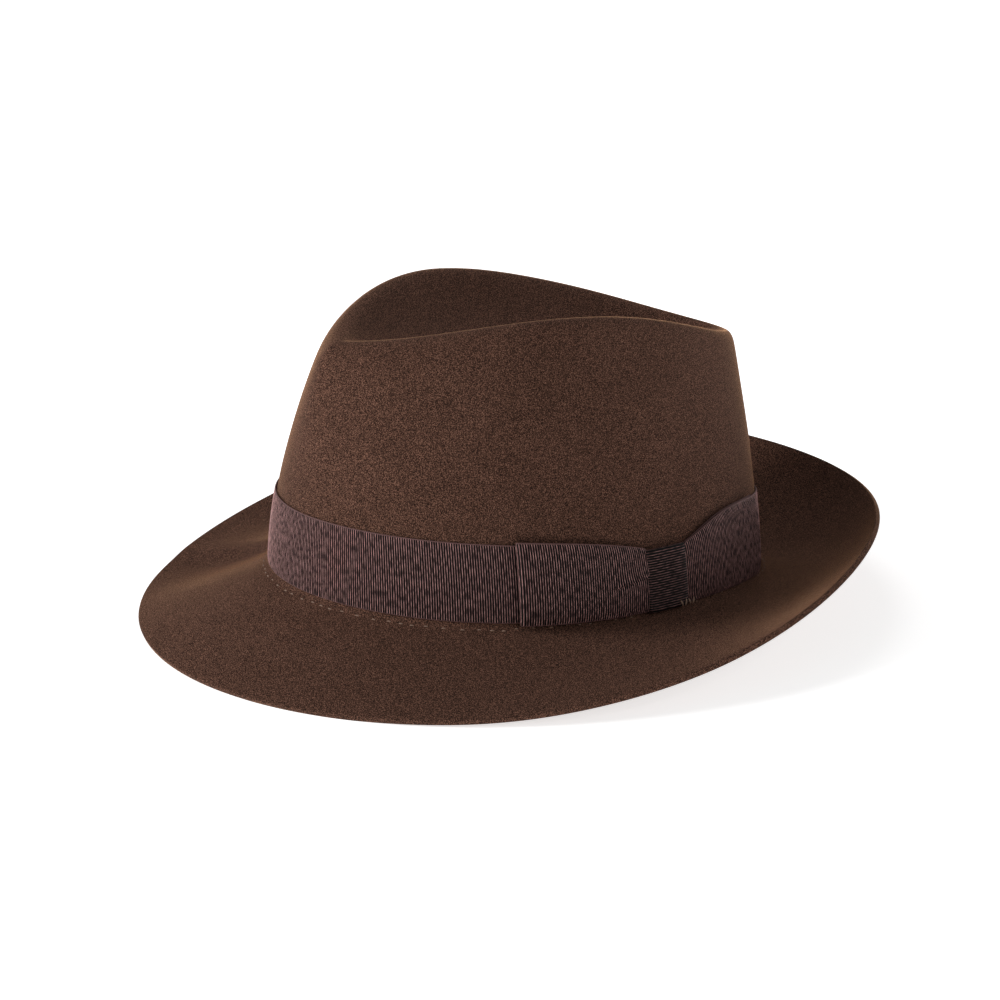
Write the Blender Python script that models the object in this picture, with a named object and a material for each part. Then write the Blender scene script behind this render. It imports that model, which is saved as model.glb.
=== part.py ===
"""A felt fedora: felt body, grosgrain band and bow outside, sweatband, reed and satin lining inside.

Metres, +Z up. The hat stands on z = 0 on the front of its brim and on the foot of its crown at the rear.
The front is -Y and the wearer's left, where the bow is, is +X. Places on the hat are given by an angle
round the crown, 0 at the front and 90 degrees at the wearer's left, and by a height above the brim.
"""

import math

import bmesh
import bpy
import numpy as np

MM = 0.001

# The crown's centre is this far behind the middle of the hat's length, which is at y = 0.
CROWN_CENTRE = 3.1 * MM

# Felt body. Each list runs from the front to the rear in equal steps of angle, the same on both sides.
HALF_LENGTH = 105.5 * MM
HALF_WIDTH = 85.3 * MM
FELT = 2.3 * MM
FOOT_HEIGHTS = [22.7 * MM, 19.9 * MM, 16.6 * MM, 10.1 * MM, 1.5 * MM]
RIDGE_HEIGHTS = [124.0 * MM, 128.2 * MM, 130.5 * MM, 111.2 * MM, 101.5 * MM]
FLOOR_HEIGHT = 100.0 * MM
FLOOR_SLOPE = -0.2
RIDGE_FRONT = 90.2 * MM
RIDGE_REAR = 102.8 * MM
RIDGE_HALF_WIDTH = 48.8 * MM
RIDGE_POINT_FRONT = 1.87
RIDGE_POINT_REAR = 1.05
RIDGE_ROUNDING = [16 * MM, 12 * MM, 9 * MM, 9 * MM, 10 * MM]
SPINE_FRONT = 50.0 * MM
SPINE_REAR = 60.0 * MM
WALL_CURVE = 1.67
FOOT_ROUNDING = 2.0 * MM

BRIM_WIDTH = 56.6 * MM
BRIM_SLOPES_AT_CROWN = [-19.0, -17.5, -14.0, -5.0, 9.0]
BRIM_SLOPES_AT_EDGE = [-24.5, -17.5, 16.5, 58.0, 62.0]

# The brim is hollowed a little more on the right, where its turned-up side meets the snapped-down front.
# The trough rises to its full depth between the first two angles and dies away between the last two.
TROUGH_DEPTH = 4.0 * MM
TROUGH_ANGLES = (-12.0, -42.0, -115.0, -150.0)

# Trim outside. Offsets are measured outwards from the felt's outer face.
CLEARANCE = 0.35 * MM
RIBBON = 0.7 * MM
BAND_BOTTOM = 1.5 * MM
BAND_TOP = 31.8 * MM
BOW_ANGLE = 94.7
BAND_JOINT_ANGLE = 97.5
BOW_PINCH = 10.1 * MM
BOW_PINCH_FRONT = (15.0, 1.2)
BOW_PINCH_REAR = (13.5, 2.0)
BOW_BOTTOM = 1.1 * MM
BOW_RISE = 1.2 * MM
BOW_LOOP_GAP = 0.8 * MM
BOW_FRONT_LOOP_ANGLES = (4.0, 33.4)
BOW_REAR_LOOP_ANGLES = (4.0, 35.0)
BOW_KNOT_SHIFT = -0.55
BOW_KNOT_HALF_ANGLE = 5.3
THREAD_RADIUS = 0.25 * MM
SEAM_DISTANCE = 3.0 * MM
TACK_ANGLES = (97.9, 99.0, 100.1, 101.2)

# A tack runs down over the knot's edge through these heights, and stands off it by these reaches.
TACK_HEIGHTS = (2.5 * MM, 1.4 * MM, 0.85 * MM)
TACK_REACHES = (0.0, 0.2 * MM, 0.5 * MM)

# Inside. Offsets are measured inwards from the felt's inner face.
TAPE = 0.3 * MM
TAPE_OFFSET = 0.5 * MM
TAPE_TOP = 7.0 * MM
TAPE_INNER_TOP = 5.0 * MM
REED = 0.7 * MM
REED_OFFSET = 0.95 * MM
REED_BOTTOM = 0.9 * MM
REED_TOP = 3.9 * MM
LEATHER = 0.8 * MM
LEATHER_OFFSET = 2.6 * MM
LEATHER_TOP = 39.0 * MM
LEATHER_SEAM_HEIGHT = 3.0 * MM
JOINT_ANGLE = 180.0
JOINT_GAP_ANGLE = 0.25
JOINT_TAB_HALF_ANGLE = 4.0
JOINT_TAB_OFFSET = 1.6 * MM
JOINT_TAB_HEIGHTS = (8.0 * MM, 37.0 * MM)
SIZE_TAG_ANGLES = (201.0, 209.0)
SIZE_TAG_OFFSET = 1.3 * MM
SIZE_TAG_HEIGHTS = (28.0 * MM, 48.0 * MM)
CARD = 0.3 * MM
SMALL_RIBBON = 0.4 * MM
SMALL_BOW_HEIGHTS = (9.0 * MM, 14.0 * MM)
SMALL_BOW_LOOP_GAP = 1.2 * MM
SMALL_BOW_LOOP_ANGLES = (1.2, 8.5)
SMALL_BOW_KNOT_HALF_ANGLE = 1.6
LINING = 0.4 * MM
LINING_OFFSET = 0.5 * MM
LINING_BOTTOM = 12.0 * MM
LINING_TOP_SHARE = 0.8
LINING_TIP_DROP = 4.4 * MM
PIPING_RADIUS = 0.8 * MM
PIPING_OFFSET = 1.4 * MM
SHIELD = 0.25 * MM
SHIELD_DROP = 1.0 * MM
SHIELD_RIM_SHARE = 0.2

AROUND = 48


def smooth_round(values, angle):
    """The value at an angle in degrees, on a smooth even curve through values from front to rear."""
    count = len(values)
    steps = np.arange(count)
    knots = np.linspace(0.0, math.pi, count)
    weights = np.linalg.solve(np.cos(np.outer(knots, steps)), values)
    return float(np.cos(math.radians(angle) * steps) @ weights)


def foot(angle):
    """The point where the crown's outer face meets the top of the brim."""
    turn = math.radians(angle)
    height = smooth_round(FOOT_HEIGHTS, angle)
    return np.array([HALF_WIDTH * math.sin(turn), -HALF_LENGTH * math.cos(turn), height])


def outward(angle):
    """The level direction that points straight out of the crown's foot."""
    turn = math.radians(angle)
    direction = np.array([HALF_LENGTH * math.sin(turn), -HALF_WIDTH * math.cos(turn), 0.0])
    return direction / np.linalg.norm(direction)


def ridge(angle):
    """The corner between the crown's wall and its dent, before it is rounded."""
    side = math.sin(math.radians(angle))
    along = -math.cos(math.radians(angle))
    at_front = along < 0.0
    sharpness = RIDGE_POINT_FRONT if at_front else RIDGE_POINT_REAR
    reach = RIDGE_FRONT if at_front else RIDGE_REAR
    across = math.copysign(RIDGE_HALF_WIDTH * abs(side) ** sharpness, side)
    return np.array([across, reach * along, smooth_round(RIDGE_HEIGHTS, angle)])


def floor_height(along):
    """The height of the dent's lowest line at a place from front to rear. It falls towards the rear."""
    return FLOOR_HEIGHT + FLOOR_SLOPE * along


def spine(angle):
    """The point on the dent's lowest line that a path over the ridge at this angle runs to."""
    along = -math.cos(math.radians(angle))
    middle = (SPINE_REAR - SPINE_FRONT) / 2.0
    reach = (SPINE_REAR + SPINE_FRONT) / 2.0
    return np.array([0.0, middle + reach * along, floor_height(middle + reach * along)])


def wall(angle, height):
    """A point on the crown's outer face at a height above its foot."""
    low = foot(angle)
    high = ridge(angle)
    share = height / (high[2] - low[2])
    point = low + (high - low) * math.copysign(abs(share) ** WALL_CURVE, share)
    point[2] = low[2] + height
    return point


def wall_height(angle):
    return ridge(angle)[2] - foot(angle)[2]


def on_wall(angle, height, offset):
    """A point off the crown's outer face: outwards when offset is positive, inwards when it is negative."""
    step = 0.5
    rise = 1.0 * MM
    around = wall(angle + step, height) - wall(angle - step, height)
    upward = wall(angle, max(height, 0.0) + rise) - wall(angle, max(height, 0.0))
    normal = np.cross(around, upward)
    return wall(angle, height) + normal / np.linalg.norm(normal) * offset


def inside_wall(angle, height, offset):
    return on_wall(angle, height, -FELT - offset)


def dent(angle, share):
    """A point on the way from the ridge, share 0, down to the spine, share 1."""
    high = ridge(angle)
    low = spine(angle)
    point = high + (low - high) * share
    point[2] = floor_height(point[1]) + (high[2] - floor_height(high[1])) * (1.0 - share) ** 2
    return point


def brim(angle, distance):
    """A point on the top of the brim at a distance out from the crown's foot, along the felt."""
    slope = math.radians(smooth_round(BRIM_SLOPES_AT_CROWN, angle))
    edge_slope = math.radians(smooth_round(BRIM_SLOPES_AT_EDGE, angle))
    turn = (edge_slope - slope) * distance / BRIM_WIDTH
    chord = distance * np.sinc(turn / (2.0 * math.pi))
    middle_slope = slope + turn / 2.0
    lift = np.array([0.0, 0.0, chord * math.sin(middle_slope) - trough(angle, distance)])
    return foot(angle) + outward(angle) * chord * math.cos(middle_slope) + lift


def fade(value, start, end):
    """0 before start and 1 after end, smooth between them."""
    share = min(max((value - start) / (end - start), 0.0), 1.0)
    return share * share * (3.0 - 2.0 * share)


def trough(angle, distance):
    """How much deeper the brim is hollowed on its right than on its left, at a distance out."""
    first, second, third, last = TROUGH_ANGLES
    behind = -((angle + 180.0) % 360.0 - 180.0)
    reach = fade(behind, -first, -second) * (1.0 - fade(behind, -third, -last))
    return TROUGH_DEPTH * reach * math.sin(math.pi * distance / BRIM_WIDTH)


def rounded_corner(start, corner, end, count):
    """Points on a curve from start to end that is pulled towards the corner between them."""
    points = []
    for share in np.linspace(0.0, 1.0, count):
        first = start + (corner - start) * share
        second = corner + (end - corner) * share
        points.append(first + (second - first) * share)
    return points


def felt_profile(angle):
    """The outer face of the felt from the brim's edge, up the wall and over the ridge, to the spine."""
    points = [brim(angle, distance) for distance in np.linspace(BRIM_WIDTH, FOOT_ROUNDING, 6)[:-1]]
    points += rounded_corner(brim(angle, FOOT_ROUNDING), foot(angle), wall(angle, FOOT_ROUNDING), 3)
    rounding = smooth_round(RIDGE_ROUNDING, angle)
    top = wall_height(angle) - rounding
    points += [wall(angle, height) for height in np.linspace(FOOT_ROUNDING, top, 8)[1:-1]]
    fall = np.linalg.norm(ridge(angle) - spine(angle))
    points += rounded_corner(wall(angle, top), ridge(angle), dent(angle, rounding / fall), 6)
    points += [dent(angle, share) for share in np.linspace(rounding / fall, 1.0, 5)[1:]]
    return points


def grid(rows, wrap, wrap_rows=False, zip_last=False):
    """A bmesh surface of quads between rows of points.

    wrap joins the two ends of each row, and wrap_rows joins the last row to the first. zip_last closes
    a surface by welding the two halves of its last row, which lie on one line, to each other.
    """
    mesh = bmesh.new()
    count = len(rows[0])
    columns = [[mesh.verts.new(point) for point in row] for row in rows]
    if wrap_rows:
        columns.append(columns[0])
    if zip_last:
        for index in range(count // 2 + 1, count):
            mesh.verts.remove(columns[-1][index])
            columns[-1][index] = columns[-1][count - index]
    last = count if wrap else count - 1
    for lower, upper in zip(columns, columns[1:]):
        for index in range(last):
            after = (index + 1) % count
            mesh.faces.new((lower[index], lower[after], upper[after], upper[index]))
    return mesh


def cord(path, radius, sides, wrap):
    """A round cord along a path. Its ends meet when wrap is set, and are closed flat otherwise."""
    points = [np.array(point) for point in path]
    last = len(points) - 1
    turns = [2.0 * math.pi * side / sides for side in range(sides)]
    rings = []
    for index, point in enumerate(points):
        before = points[index - 1] if wrap else points[max(index - 1, 0)]
        after = points[(index + 1) % len(points)] if wrap else points[min(index + 1, last)]
        along = (after - before) / np.linalg.norm(after - before)
        across = np.cross(along, (0.0, 0.0, 1.0))
        across = across / np.linalg.norm(across)
        lift = np.cross(across, along)
        rings.append([point + radius * (across * math.cos(turn) + lift * math.sin(turn)) for turn in turns])
    mesh = grid(rings, wrap=True, wrap_rows=wrap)
    if not wrap:
        rims = [edge for edge in mesh.edges if edge.is_boundary]
        bmesh.ops.holes_fill(mesh, edges=rims, sides=sides)
    bmesh.ops.recalc_face_normals(mesh, faces=mesh.faces)
    return mesh


def linear(red, green, blue):
    """A screen colour, 0 to 255, as the linear colour that a material holds."""
    shares = [channel / 255.0 for channel in (red, green, blue)]
    return [share / 12.92 if share <= 0.04045 else ((share + 0.055) / 1.055) ** 2.4 for share in shares]


def make_material(name, colour, roughness, alpha=1.0):
    material = bpy.data.materials.new(name)
    material.use_nodes = True
    shader = material.node_tree.nodes["Principled BSDF"]
    shader.inputs["Base Color"].default_value = (*colour, 1.0)
    shader.inputs["Roughness"].default_value = roughness
    shader.inputs["Metallic"].default_value = 0.0
    shader.inputs["Alpha"].default_value = alpha
    return material


def make_object(name, mesh, material):
    """A named object, placed with the centre of the crown's foot over its own origin."""
    data = bpy.data.meshes.new(name)
    mesh.to_mesh(data)
    mesh.free()
    data.materials.append(material)
    data.shade_smooth()
    data.set_sharp_from_angle(angle=math.radians(40))
    made = bpy.data.objects.new(name, data)
    made.location = (0.0, CROWN_CENTRE, 0.0)
    bpy.context.scene.collection.objects.link(made)
    return made


def make_sheet(name, mesh, material, thickness, side):
    """Make an open surface solid: side is 1 for outwards, -1 for inwards and 0 for half each way."""
    made = make_object(name, mesh, material)
    solidify = made.modifiers.new("thickness", "SOLIDIFY")
    solidify.thickness = thickness
    solidify.offset = side
    solidify.use_even_offset = True
    return made


def angles_round():
    return [360.0 * index / AROUND for index in range(AROUND)]


def angles_from_joint(joint):
    """Angles once round the crown, for a strip whose two ends meet at the joint with a hair between."""
    return list(np.linspace(joint + JOINT_GAP_ANGLE, joint + 360.0 - JOINT_GAP_ANGLE, AROUND + 1))


def make_ground_cutter():
    """A block under z = 0, which leaves the felt flat where the hat stands."""
    mesh = bmesh.new()
    bmesh.ops.create_cube(mesh, size=1.0)
    bmesh.ops.translate(mesh, verts=mesh.verts, vec=(0.0, 0.0, -0.5))
    data = bpy.data.meshes.new("ground_cutter")
    mesh.to_mesh(data)
    mesh.free()
    cutter = bpy.data.objects.new("ground_cutter", data)
    cutter.hide_render = True
    cutter.display_type = "WIRE"
    bpy.context.scene.collection.objects.link(cutter)
    return cutter


def make_felt_body(material):
    """Crown and brim in one piece, with a raw cut edge."""
    profiles = [felt_profile(angle) for angle in angles_round()]
    rows = [list(row) for row in zip(*profiles)]
    body = make_sheet("felt_body", grid(rows, wrap=True, zip_last=True), material, FELT, -1)
    level = body.modifiers.new("level_where_it_stands", "BOOLEAN")
    level.operation = "DIFFERENCE"
    level.solver = "EXACT"
    level.object = make_ground_cutter()


def ribbon_top(angle):
    """The height of the band's upper edge, which the knot of the bow squeezes down.

    The squeeze fades in front of the knot and behind it with its own spread, in degrees, and power.
    """
    spread, power = BOW_PINCH_FRONT if angle < BOW_ANGLE else BOW_PINCH_REAR
    return BAND_TOP - BOW_PINCH * math.exp(-((abs(angle - BOW_ANGLE) / spread) ** power))


def make_hat_band(material):
    """One length of ribbon round the foot of the crown. Its ends meet behind the knot of the bow."""
    rows = []
    for share in (0.0, 0.5, 1.0):
        row = []
        for angle in angles_from_joint(BAND_JOINT_ANGLE):
            height = BAND_BOTTOM + (ribbon_top(angle % 360.0) - BAND_BOTTOM) * share
            row.append(on_wall(angle, height, CLEARANCE))
        rows.append(row)
    make_sheet("hat_band", grid(rows, wrap=False), material, RIBBON, 1)


def loop_path(centre, side, loop_angles, back, gap, thickness):
    """Angles and offsets along a flat loop: out along its back layer, round the fold and back in front."""
    inner, outer = loop_angles
    radius = (gap + thickness) / 2.0
    fold_angle = math.degrees(radius / HALF_WIDTH)
    straight = list(np.linspace(inner, outer, 7))
    path = [(angle, back) for angle in straight]
    for turn in np.linspace(0.0, math.pi, 6)[1:-1]:
        path.append((outer + fold_angle * math.sin(turn), back + radius * (1.0 - math.cos(turn))))
    path += [(angle, back + 2.0 * radius) for angle in reversed(straight)]
    return [(centre + side * angle, offset) for angle, offset in path]


def loop_mesh(place, path, bottom, top):
    """The middle surface of a loop of ribbon between a bottom and a top height, each given by angle."""
    rows = []
    for share in (0.0, 0.5, 1.0):
        row = []
        for angle, offset in path:
            height = bottom(angle) + (top(angle) - bottom(angle)) * share
            row.append(place(angle, height, offset))
        rows.append(row)
    return grid(rows, wrap=False)


def knot_mesh(place, centre, half_angle, bottom, top, back, front):
    """The middle surface of a knot: over the top of the loops from behind, then down in front of them."""
    rounding = (front - back) / 3.0
    rows = []
    for height_over, offset in (
        (0.0, back),
        (0.0, front - rounding),
        (-rounding, front),
    ):
        rows.append([(angle, top(angle) + height_over, offset) for angle in knot_angles(centre, half_angle)])
    for share in (0.6, 0.3, 0.0):
        row = []
        for angle in knot_angles(centre, half_angle):
            row.append((angle, bottom(angle) + (top(angle) - rounding - bottom(angle)) * share, front))
        rows.append(row)
    return grid([[place(*spot) for spot in row] for row in rows], wrap=False)


def knot_angles(centre, half_angle):
    return list(np.linspace(centre - half_angle, centre + half_angle, 5))


def bow_offsets():
    """How far out the middles of the bow's three layers lie: the loops' backs, their fronts and the knot."""
    back = CLEARANCE + RIBBON + CLEARANCE + RIBBON / 2.0
    front = back + BOW_LOOP_GAP + RIBBON
    return back, front, front + RIBBON + CLEARANCE


def make_bow(material):
    """A flat bow of the band's ribbon on the wearer's left: a loop to each side and a knot over both."""
    back, _, knot_front = bow_offsets()

    def bottom(_angle):
        return BOW_BOTTOM

    def top(angle):
        return ribbon_top(angle) + BOW_RISE

    def knot_top(angle):
        return top(angle) + RIBBON / 2.0 + CLEARANCE

    for name, side, loop_angles in (
        ("bow_front_loop", -1, BOW_FRONT_LOOP_ANGLES),
        ("bow_rear_loop", 1, BOW_REAR_LOOP_ANGLES),
    ):
        path = loop_path(BOW_ANGLE, side, loop_angles, back, BOW_LOOP_GAP, RIBBON)
        make_sheet(name, loop_mesh(on_wall, path, bottom, top), material, RIBBON, 0)
    centre = BOW_ANGLE + BOW_KNOT_SHIFT
    mesh = knot_mesh(on_wall, centre, BOW_KNOT_HALF_ANGLE, bottom, knot_top, back, knot_front)
    make_sheet("bow_knot", mesh, material, RIBBON, 0)


def make_bow_tacks(material):
    """Short stitches that hold the bow's lower edge down to the felt."""
    _, _, knot_front = bow_offsets()
    clear = knot_front + RIBBON / 2.0 + CLEARANCE + THREAD_RADIUS
    for number, angle in enumerate(TACK_ANGLES, start=1):
        path = [on_wall(angle, height, clear + reach) for height, reach in zip(TACK_HEIGHTS, TACK_REACHES)]
        make_object(f"bow_tack_{number}", cord(path, THREAD_RADIUS, 5, wrap=False), material)


def make_seam_threads(material):
    """The sweatband's seam: one thread on top of the brim by the band, and one inside on the leather."""
    path = []
    for angle in angles_round():
        along = brim(angle, SEAM_DISTANCE + 1.0 * MM) - brim(angle, SEAM_DISTANCE)
        level = brim(angle + 1.0, SEAM_DISTANCE) - brim(angle - 1.0, SEAM_DISTANCE)
        normal = np.cross(along, level)
        lift = (CLEARANCE + THREAD_RADIUS) / np.linalg.norm(normal)
        path.append(brim(angle, SEAM_DISTANCE) + normal * lift)
    make_object("seam_thread_outside", cord(path, THREAD_RADIUS, 5, wrap=True), material)
    offset = LEATHER_OFFSET + LEATHER + CLEARANCE + THREAD_RADIUS
    path = [inside_wall(angle, LEATHER_SEAM_HEIGHT, offset) for angle in angles_round()]
    make_object("seam_thread_inside", cord(path, THREAD_RADIUS, 5, wrap=True), material)


def inside_strip(angles, heights, offset):
    """A surface along the inside of the wall, between two heights, at an offset from the felt."""
    rows = [[inside_wall(angle, height, offset) for angle in angles] for height in np.linspace(*heights, 3)]
    return grid(rows, wrap=False)


def make_sweatband(leather, tape, plastic):
    """Leather band inside the crown's foot, with a thin reed in a folded tape behind its lower edge."""
    angles = angles_from_joint(JOINT_ANGLE)
    band = inside_strip(angles, (0.0, LEATHER_TOP), LEATHER_OFFSET)
    make_sheet("sweatband", band, leather, LEATHER, -1)
    reed = inside_strip(angles, (REED_BOTTOM, REED_TOP), REED_OFFSET)
    make_sheet("sweatband_reed", reed, plastic, REED, -1)
    fold_height = REED_BOTTOM - CLEARANCE - TAPE / 2.0
    inner_offset = LEATHER_OFFSET - CLEARANCE - TAPE / 2.0
    fold = [
        (TAPE_TOP, TAPE_OFFSET),
        (REED_BOTTOM, TAPE_OFFSET),
        (fold_height, TAPE_OFFSET + CLEARANCE),
        (fold_height, inner_offset - CLEARANCE),
        (REED_BOTTOM, inner_offset),
        (TAPE_INNER_TOP, inner_offset),
    ]
    rows = [[inside_wall(angle, height, offset) for angle in angles] for height, offset in fold]
    make_sheet("reed_tape", grid(rows, wrap=False), tape, TAPE, 0)
    tab_angles = np.linspace(JOINT_ANGLE - JOINT_TAB_HALF_ANGLE, JOINT_ANGLE + JOINT_TAB_HALF_ANGLE, 4)
    tab = inside_strip(tab_angles, JOINT_TAB_HEIGHTS, JOINT_TAB_OFFSET)
    make_sheet("sweatband_joint_tab", tab, leather, LINING, -1)


def make_size_tag(material):
    """A small blank card that stands up from behind the sweatband."""
    tag = inside_strip(np.linspace(*SIZE_TAG_ANGLES, 4), SIZE_TAG_HEIGHTS, SIZE_TAG_OFFSET)
    make_sheet("size_tag", tag, material, CARD, -1)


def make_sweatband_bow(material):
    """A small bow of narrow ribbon over the joint of the sweatband."""
    low, high = SMALL_BOW_HEIGHTS
    back = LEATHER_OFFSET + LEATHER + CLEARANCE + SMALL_RIBBON / 2.0
    front = back + SMALL_BOW_LOOP_GAP + SMALL_RIBBON

    def bottom(_angle):
        return low

    def top(_angle):
        return high

    def knot_top(_angle):
        return high + SMALL_RIBBON + CLEARANCE

    for name, side in (("sweatband_bow_left_loop", -1), ("sweatband_bow_right_loop", 1)):
        path = loop_path(JOINT_ANGLE, side, SMALL_BOW_LOOP_ANGLES, back, SMALL_BOW_LOOP_GAP, SMALL_RIBBON)
        make_sheet(name, loop_mesh(inside_wall, path, bottom, top), material, SMALL_RIBBON, 0)
    knot_front = front + SMALL_RIBBON + CLEARANCE
    half_angle = SMALL_BOW_KNOT_HALF_ANGLE
    mesh = knot_mesh(inside_wall, JOINT_ANGLE, half_angle, bottom, knot_top, back, knot_front)
    make_sheet("sweatband_bow_knot", mesh, material, SMALL_RIBBON, 0)


def tip_point(angle, share, drop):
    """A point on the lining's tip, from its rim, share 0, to the middle line under the dent, share 1."""
    offset = PIPING_OFFSET + PIPING_RADIUS + CLEARANCE
    rim = inside_wall(angle, wall_height(angle) * LINING_TOP_SHARE, offset)
    low = spine(angle)
    low[2] -= LINING_TIP_DROP
    point = rim + (low - rim) * share
    point[2] = low[2] + (rim[2] - low[2]) * (1.0 - share) ** 2 - drop
    return point


def make_lining(satin, plastic):
    """Satin lining in the crown: a side, a tip under the dent, a cord between them and a clear shield."""
    angles = angles_round()
    rows = []
    for share in np.linspace(0.0, 1.0, 4):
        row = []
        for angle in angles:
            top = wall_height(angle) * LINING_TOP_SHARE - PIPING_RADIUS - CLEARANCE
            row.append(inside_wall(angle, LINING_BOTTOM + (top - LINING_BOTTOM) * share, LINING_OFFSET))
        rows.append(row)
    make_sheet("lining_side", grid(rows, wrap=True), satin, LINING, -1)
    path = [inside_wall(angle, wall_height(angle) * LINING_TOP_SHARE, PIPING_OFFSET) for angle in angles]
    make_object("lining_piping", cord(path, PIPING_RADIUS, 5, wrap=True), satin)
    for name, material, thickness, drop, rim_share in (
        ("lining_tip", satin, LINING, 0.0, 0.0),
        ("tip_shield", plastic, SHIELD, SHIELD_DROP, SHIELD_RIM_SHARE),
    ):
        shares = np.linspace(rim_share, 1.0, 5)
        rows = [[tip_point(angle, share, drop) for angle in angles] for share in shares]
        make_sheet(name, grid(rows, wrap=True, zip_last=True), material, thickness, -1)


def main():
    for existing in list(bpy.data.objects):
        bpy.data.objects.remove(existing)
    felt = make_material("felt", linear(78, 54, 43), 0.95)
    grosgrain = make_material("grosgrain", linear(74, 54, 50), 0.6)
    thread = make_material("thread", linear(120, 96, 84), 0.7)
    leather = make_material("leather", linear(92, 62, 44), 0.55)
    tape = make_material("tape", linear(60, 44, 38), 0.85)
    satin = make_material("satin", linear(96, 74, 56), 0.4)
    small_ribbon = make_material("small_ribbon", linear(70, 50, 44), 0.5)
    clear_plastic = make_material("clear_plastic", linear(235, 235, 232), 0.1, alpha=0.3)
    card = make_material("card", linear(225, 218, 202), 0.8)
    make_felt_body(felt)
    make_hat_band(grosgrain)
    make_bow(grosgrain)
    make_bow_tacks(thread)
    make_seam_threads(thread)
    make_sweatband(leather, tape, clear_plastic)
    make_sweatband_bow(small_ribbon)
    make_size_tag(card)
    make_lining(satin, clear_plastic)


main()
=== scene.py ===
"""Looks for a felt fedora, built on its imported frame: brushed felt, ribbed ribbon, leather and satin.

Metres, +Z up, front -Y, the wearer's left +X. Places on the hat are given as in the frame: an angle
round the crown, 0 at the front and 90 degrees at the wearer's left, and a height above the brim.
"""

import math

import bmesh
import bpy
import numpy as np
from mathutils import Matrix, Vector, noise


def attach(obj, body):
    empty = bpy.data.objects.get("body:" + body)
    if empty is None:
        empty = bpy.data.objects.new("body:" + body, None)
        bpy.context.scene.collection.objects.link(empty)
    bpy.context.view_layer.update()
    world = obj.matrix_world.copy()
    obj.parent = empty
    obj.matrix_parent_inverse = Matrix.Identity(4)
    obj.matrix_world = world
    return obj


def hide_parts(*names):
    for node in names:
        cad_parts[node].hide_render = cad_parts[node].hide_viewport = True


MM = 0.001

# Crown. Each list runs from the front to the rear in equal steps of angle, the same on both sides.
CROWN_CENTRE = 3.1 * MM
HALF_LENGTH = 105.5 * MM
HALF_WIDTH = 85.3 * MM
FELT = 2.3 * MM
FOOT_HEIGHTS = [22.7 * MM, 19.9 * MM, 16.6 * MM, 10.1 * MM, 1.5 * MM]
RIDGE_HEIGHTS = [124.0 * MM, 128.2 * MM, 130.5 * MM, 111.2 * MM, 101.5 * MM]
FLOOR_HEIGHT = 100.0 * MM
FLOOR_SLOPE = -0.2
RIDGE_FRONT = 90.2 * MM
RIDGE_REAR = 102.8 * MM
RIDGE_HALF_WIDTH = 48.8 * MM
RIDGE_POINT_FRONT = 1.87
RIDGE_POINT_REAR = 1.05
RIDGE_ROUNDING = [16 * MM, 12 * MM, 9 * MM, 9 * MM, 10 * MM]
SPINE_FRONT = 50.0 * MM
SPINE_REAR = 60.0 * MM
WALL_CURVE = 1.67
FOOT_ROUNDING = 2.0 * MM

# Brim. On the right it steps up behind BREAK_ANGLE. Its trough there rises to its full depth between
# the first two angles and dies away between the last two.
BRIM_WIDTH = 56.6 * MM
BRIM_SLOPES_AT_CROWN = [-19.0, -17.5, -14.0, -5.0, 9.0]
BRIM_SLOPES_AT_EDGE = [-24.5, -17.5, 16.5, 58.0, 62.0]
BREAK_ANGLE = -52.0
BREAK_HEIGHT = 2.1 * MM
BREAK_TURN = 2.5
BREAK_REACH = 22.0
BREAK_START = 8.0 * MM
BREAK_END = 28.0 * MM
BREAK_END_LOSS = 0.8
TROUGH_DEPTH = 4.0 * MM
TROUGH_ANGLES = (-26.0, -50.0, -115.0, -150.0)

# Surface of the felt. It waves a little away from the crown's foot, between two distances from it.
CUT_EDGE_ROUNDING = 0.45 * MM
CUT_EDGE_STEPS = 4
FELT_WAVE = 0.5 * MM
FELT_WAVE_SIZE = 55.0 * MM
FELT_WAVE_FADES = (31.8 * MM, 57.24 * MM)
FELT_COLUMNS = 288
BRIM_ROWS = 28
FOOT_ROWS = 6
WALL_ROWS = 40
RIDGE_ROWS = 18
DENT_ROWS = 24
FELT_SMOOTHING = 6

# Edges of every strip: the widest margin, as a share of its width, the rounding, as a share of its
# thickness, and how much of its thickness and of its ribs is left at an edge.
EDGE_MARGIN = 0.2
EDGE_ROUNDING = 0.3
EDGE_THICKNESS = 0.85
EDGE_RIBS = 0.15

# Ribbon and band outside. Offsets are measured outwards from the felt. The tone changes RIB_STREAKS
# times to the metre along a rib.
CLEARANCE = 0.35 * MM
RIBBON = 0.5 * MM
RIBBON_WIDTH = 30.3 * MM
RIBBON_BEAD = 0.08 * MM
RIB_PITCH = 0.95 * MM
RIB_DEPTH = 0.17 * MM
RIB_SAMPLES = 6
RIB_STREAKS = 330.0
SELVEDGE = 0.4 * MM
TRIM_HEIGHT = 15.0 * MM
BAND_BOTTOM = 1.5 * MM
BAND_TOP = 31.8 * MM
BAND_OFFSET = 0.55 * MM
BAND_ROWS = 8
BAND_JOINT_ANGLE = 97.5
BAND_JOINT_HALF_GAP = 0.25

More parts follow.
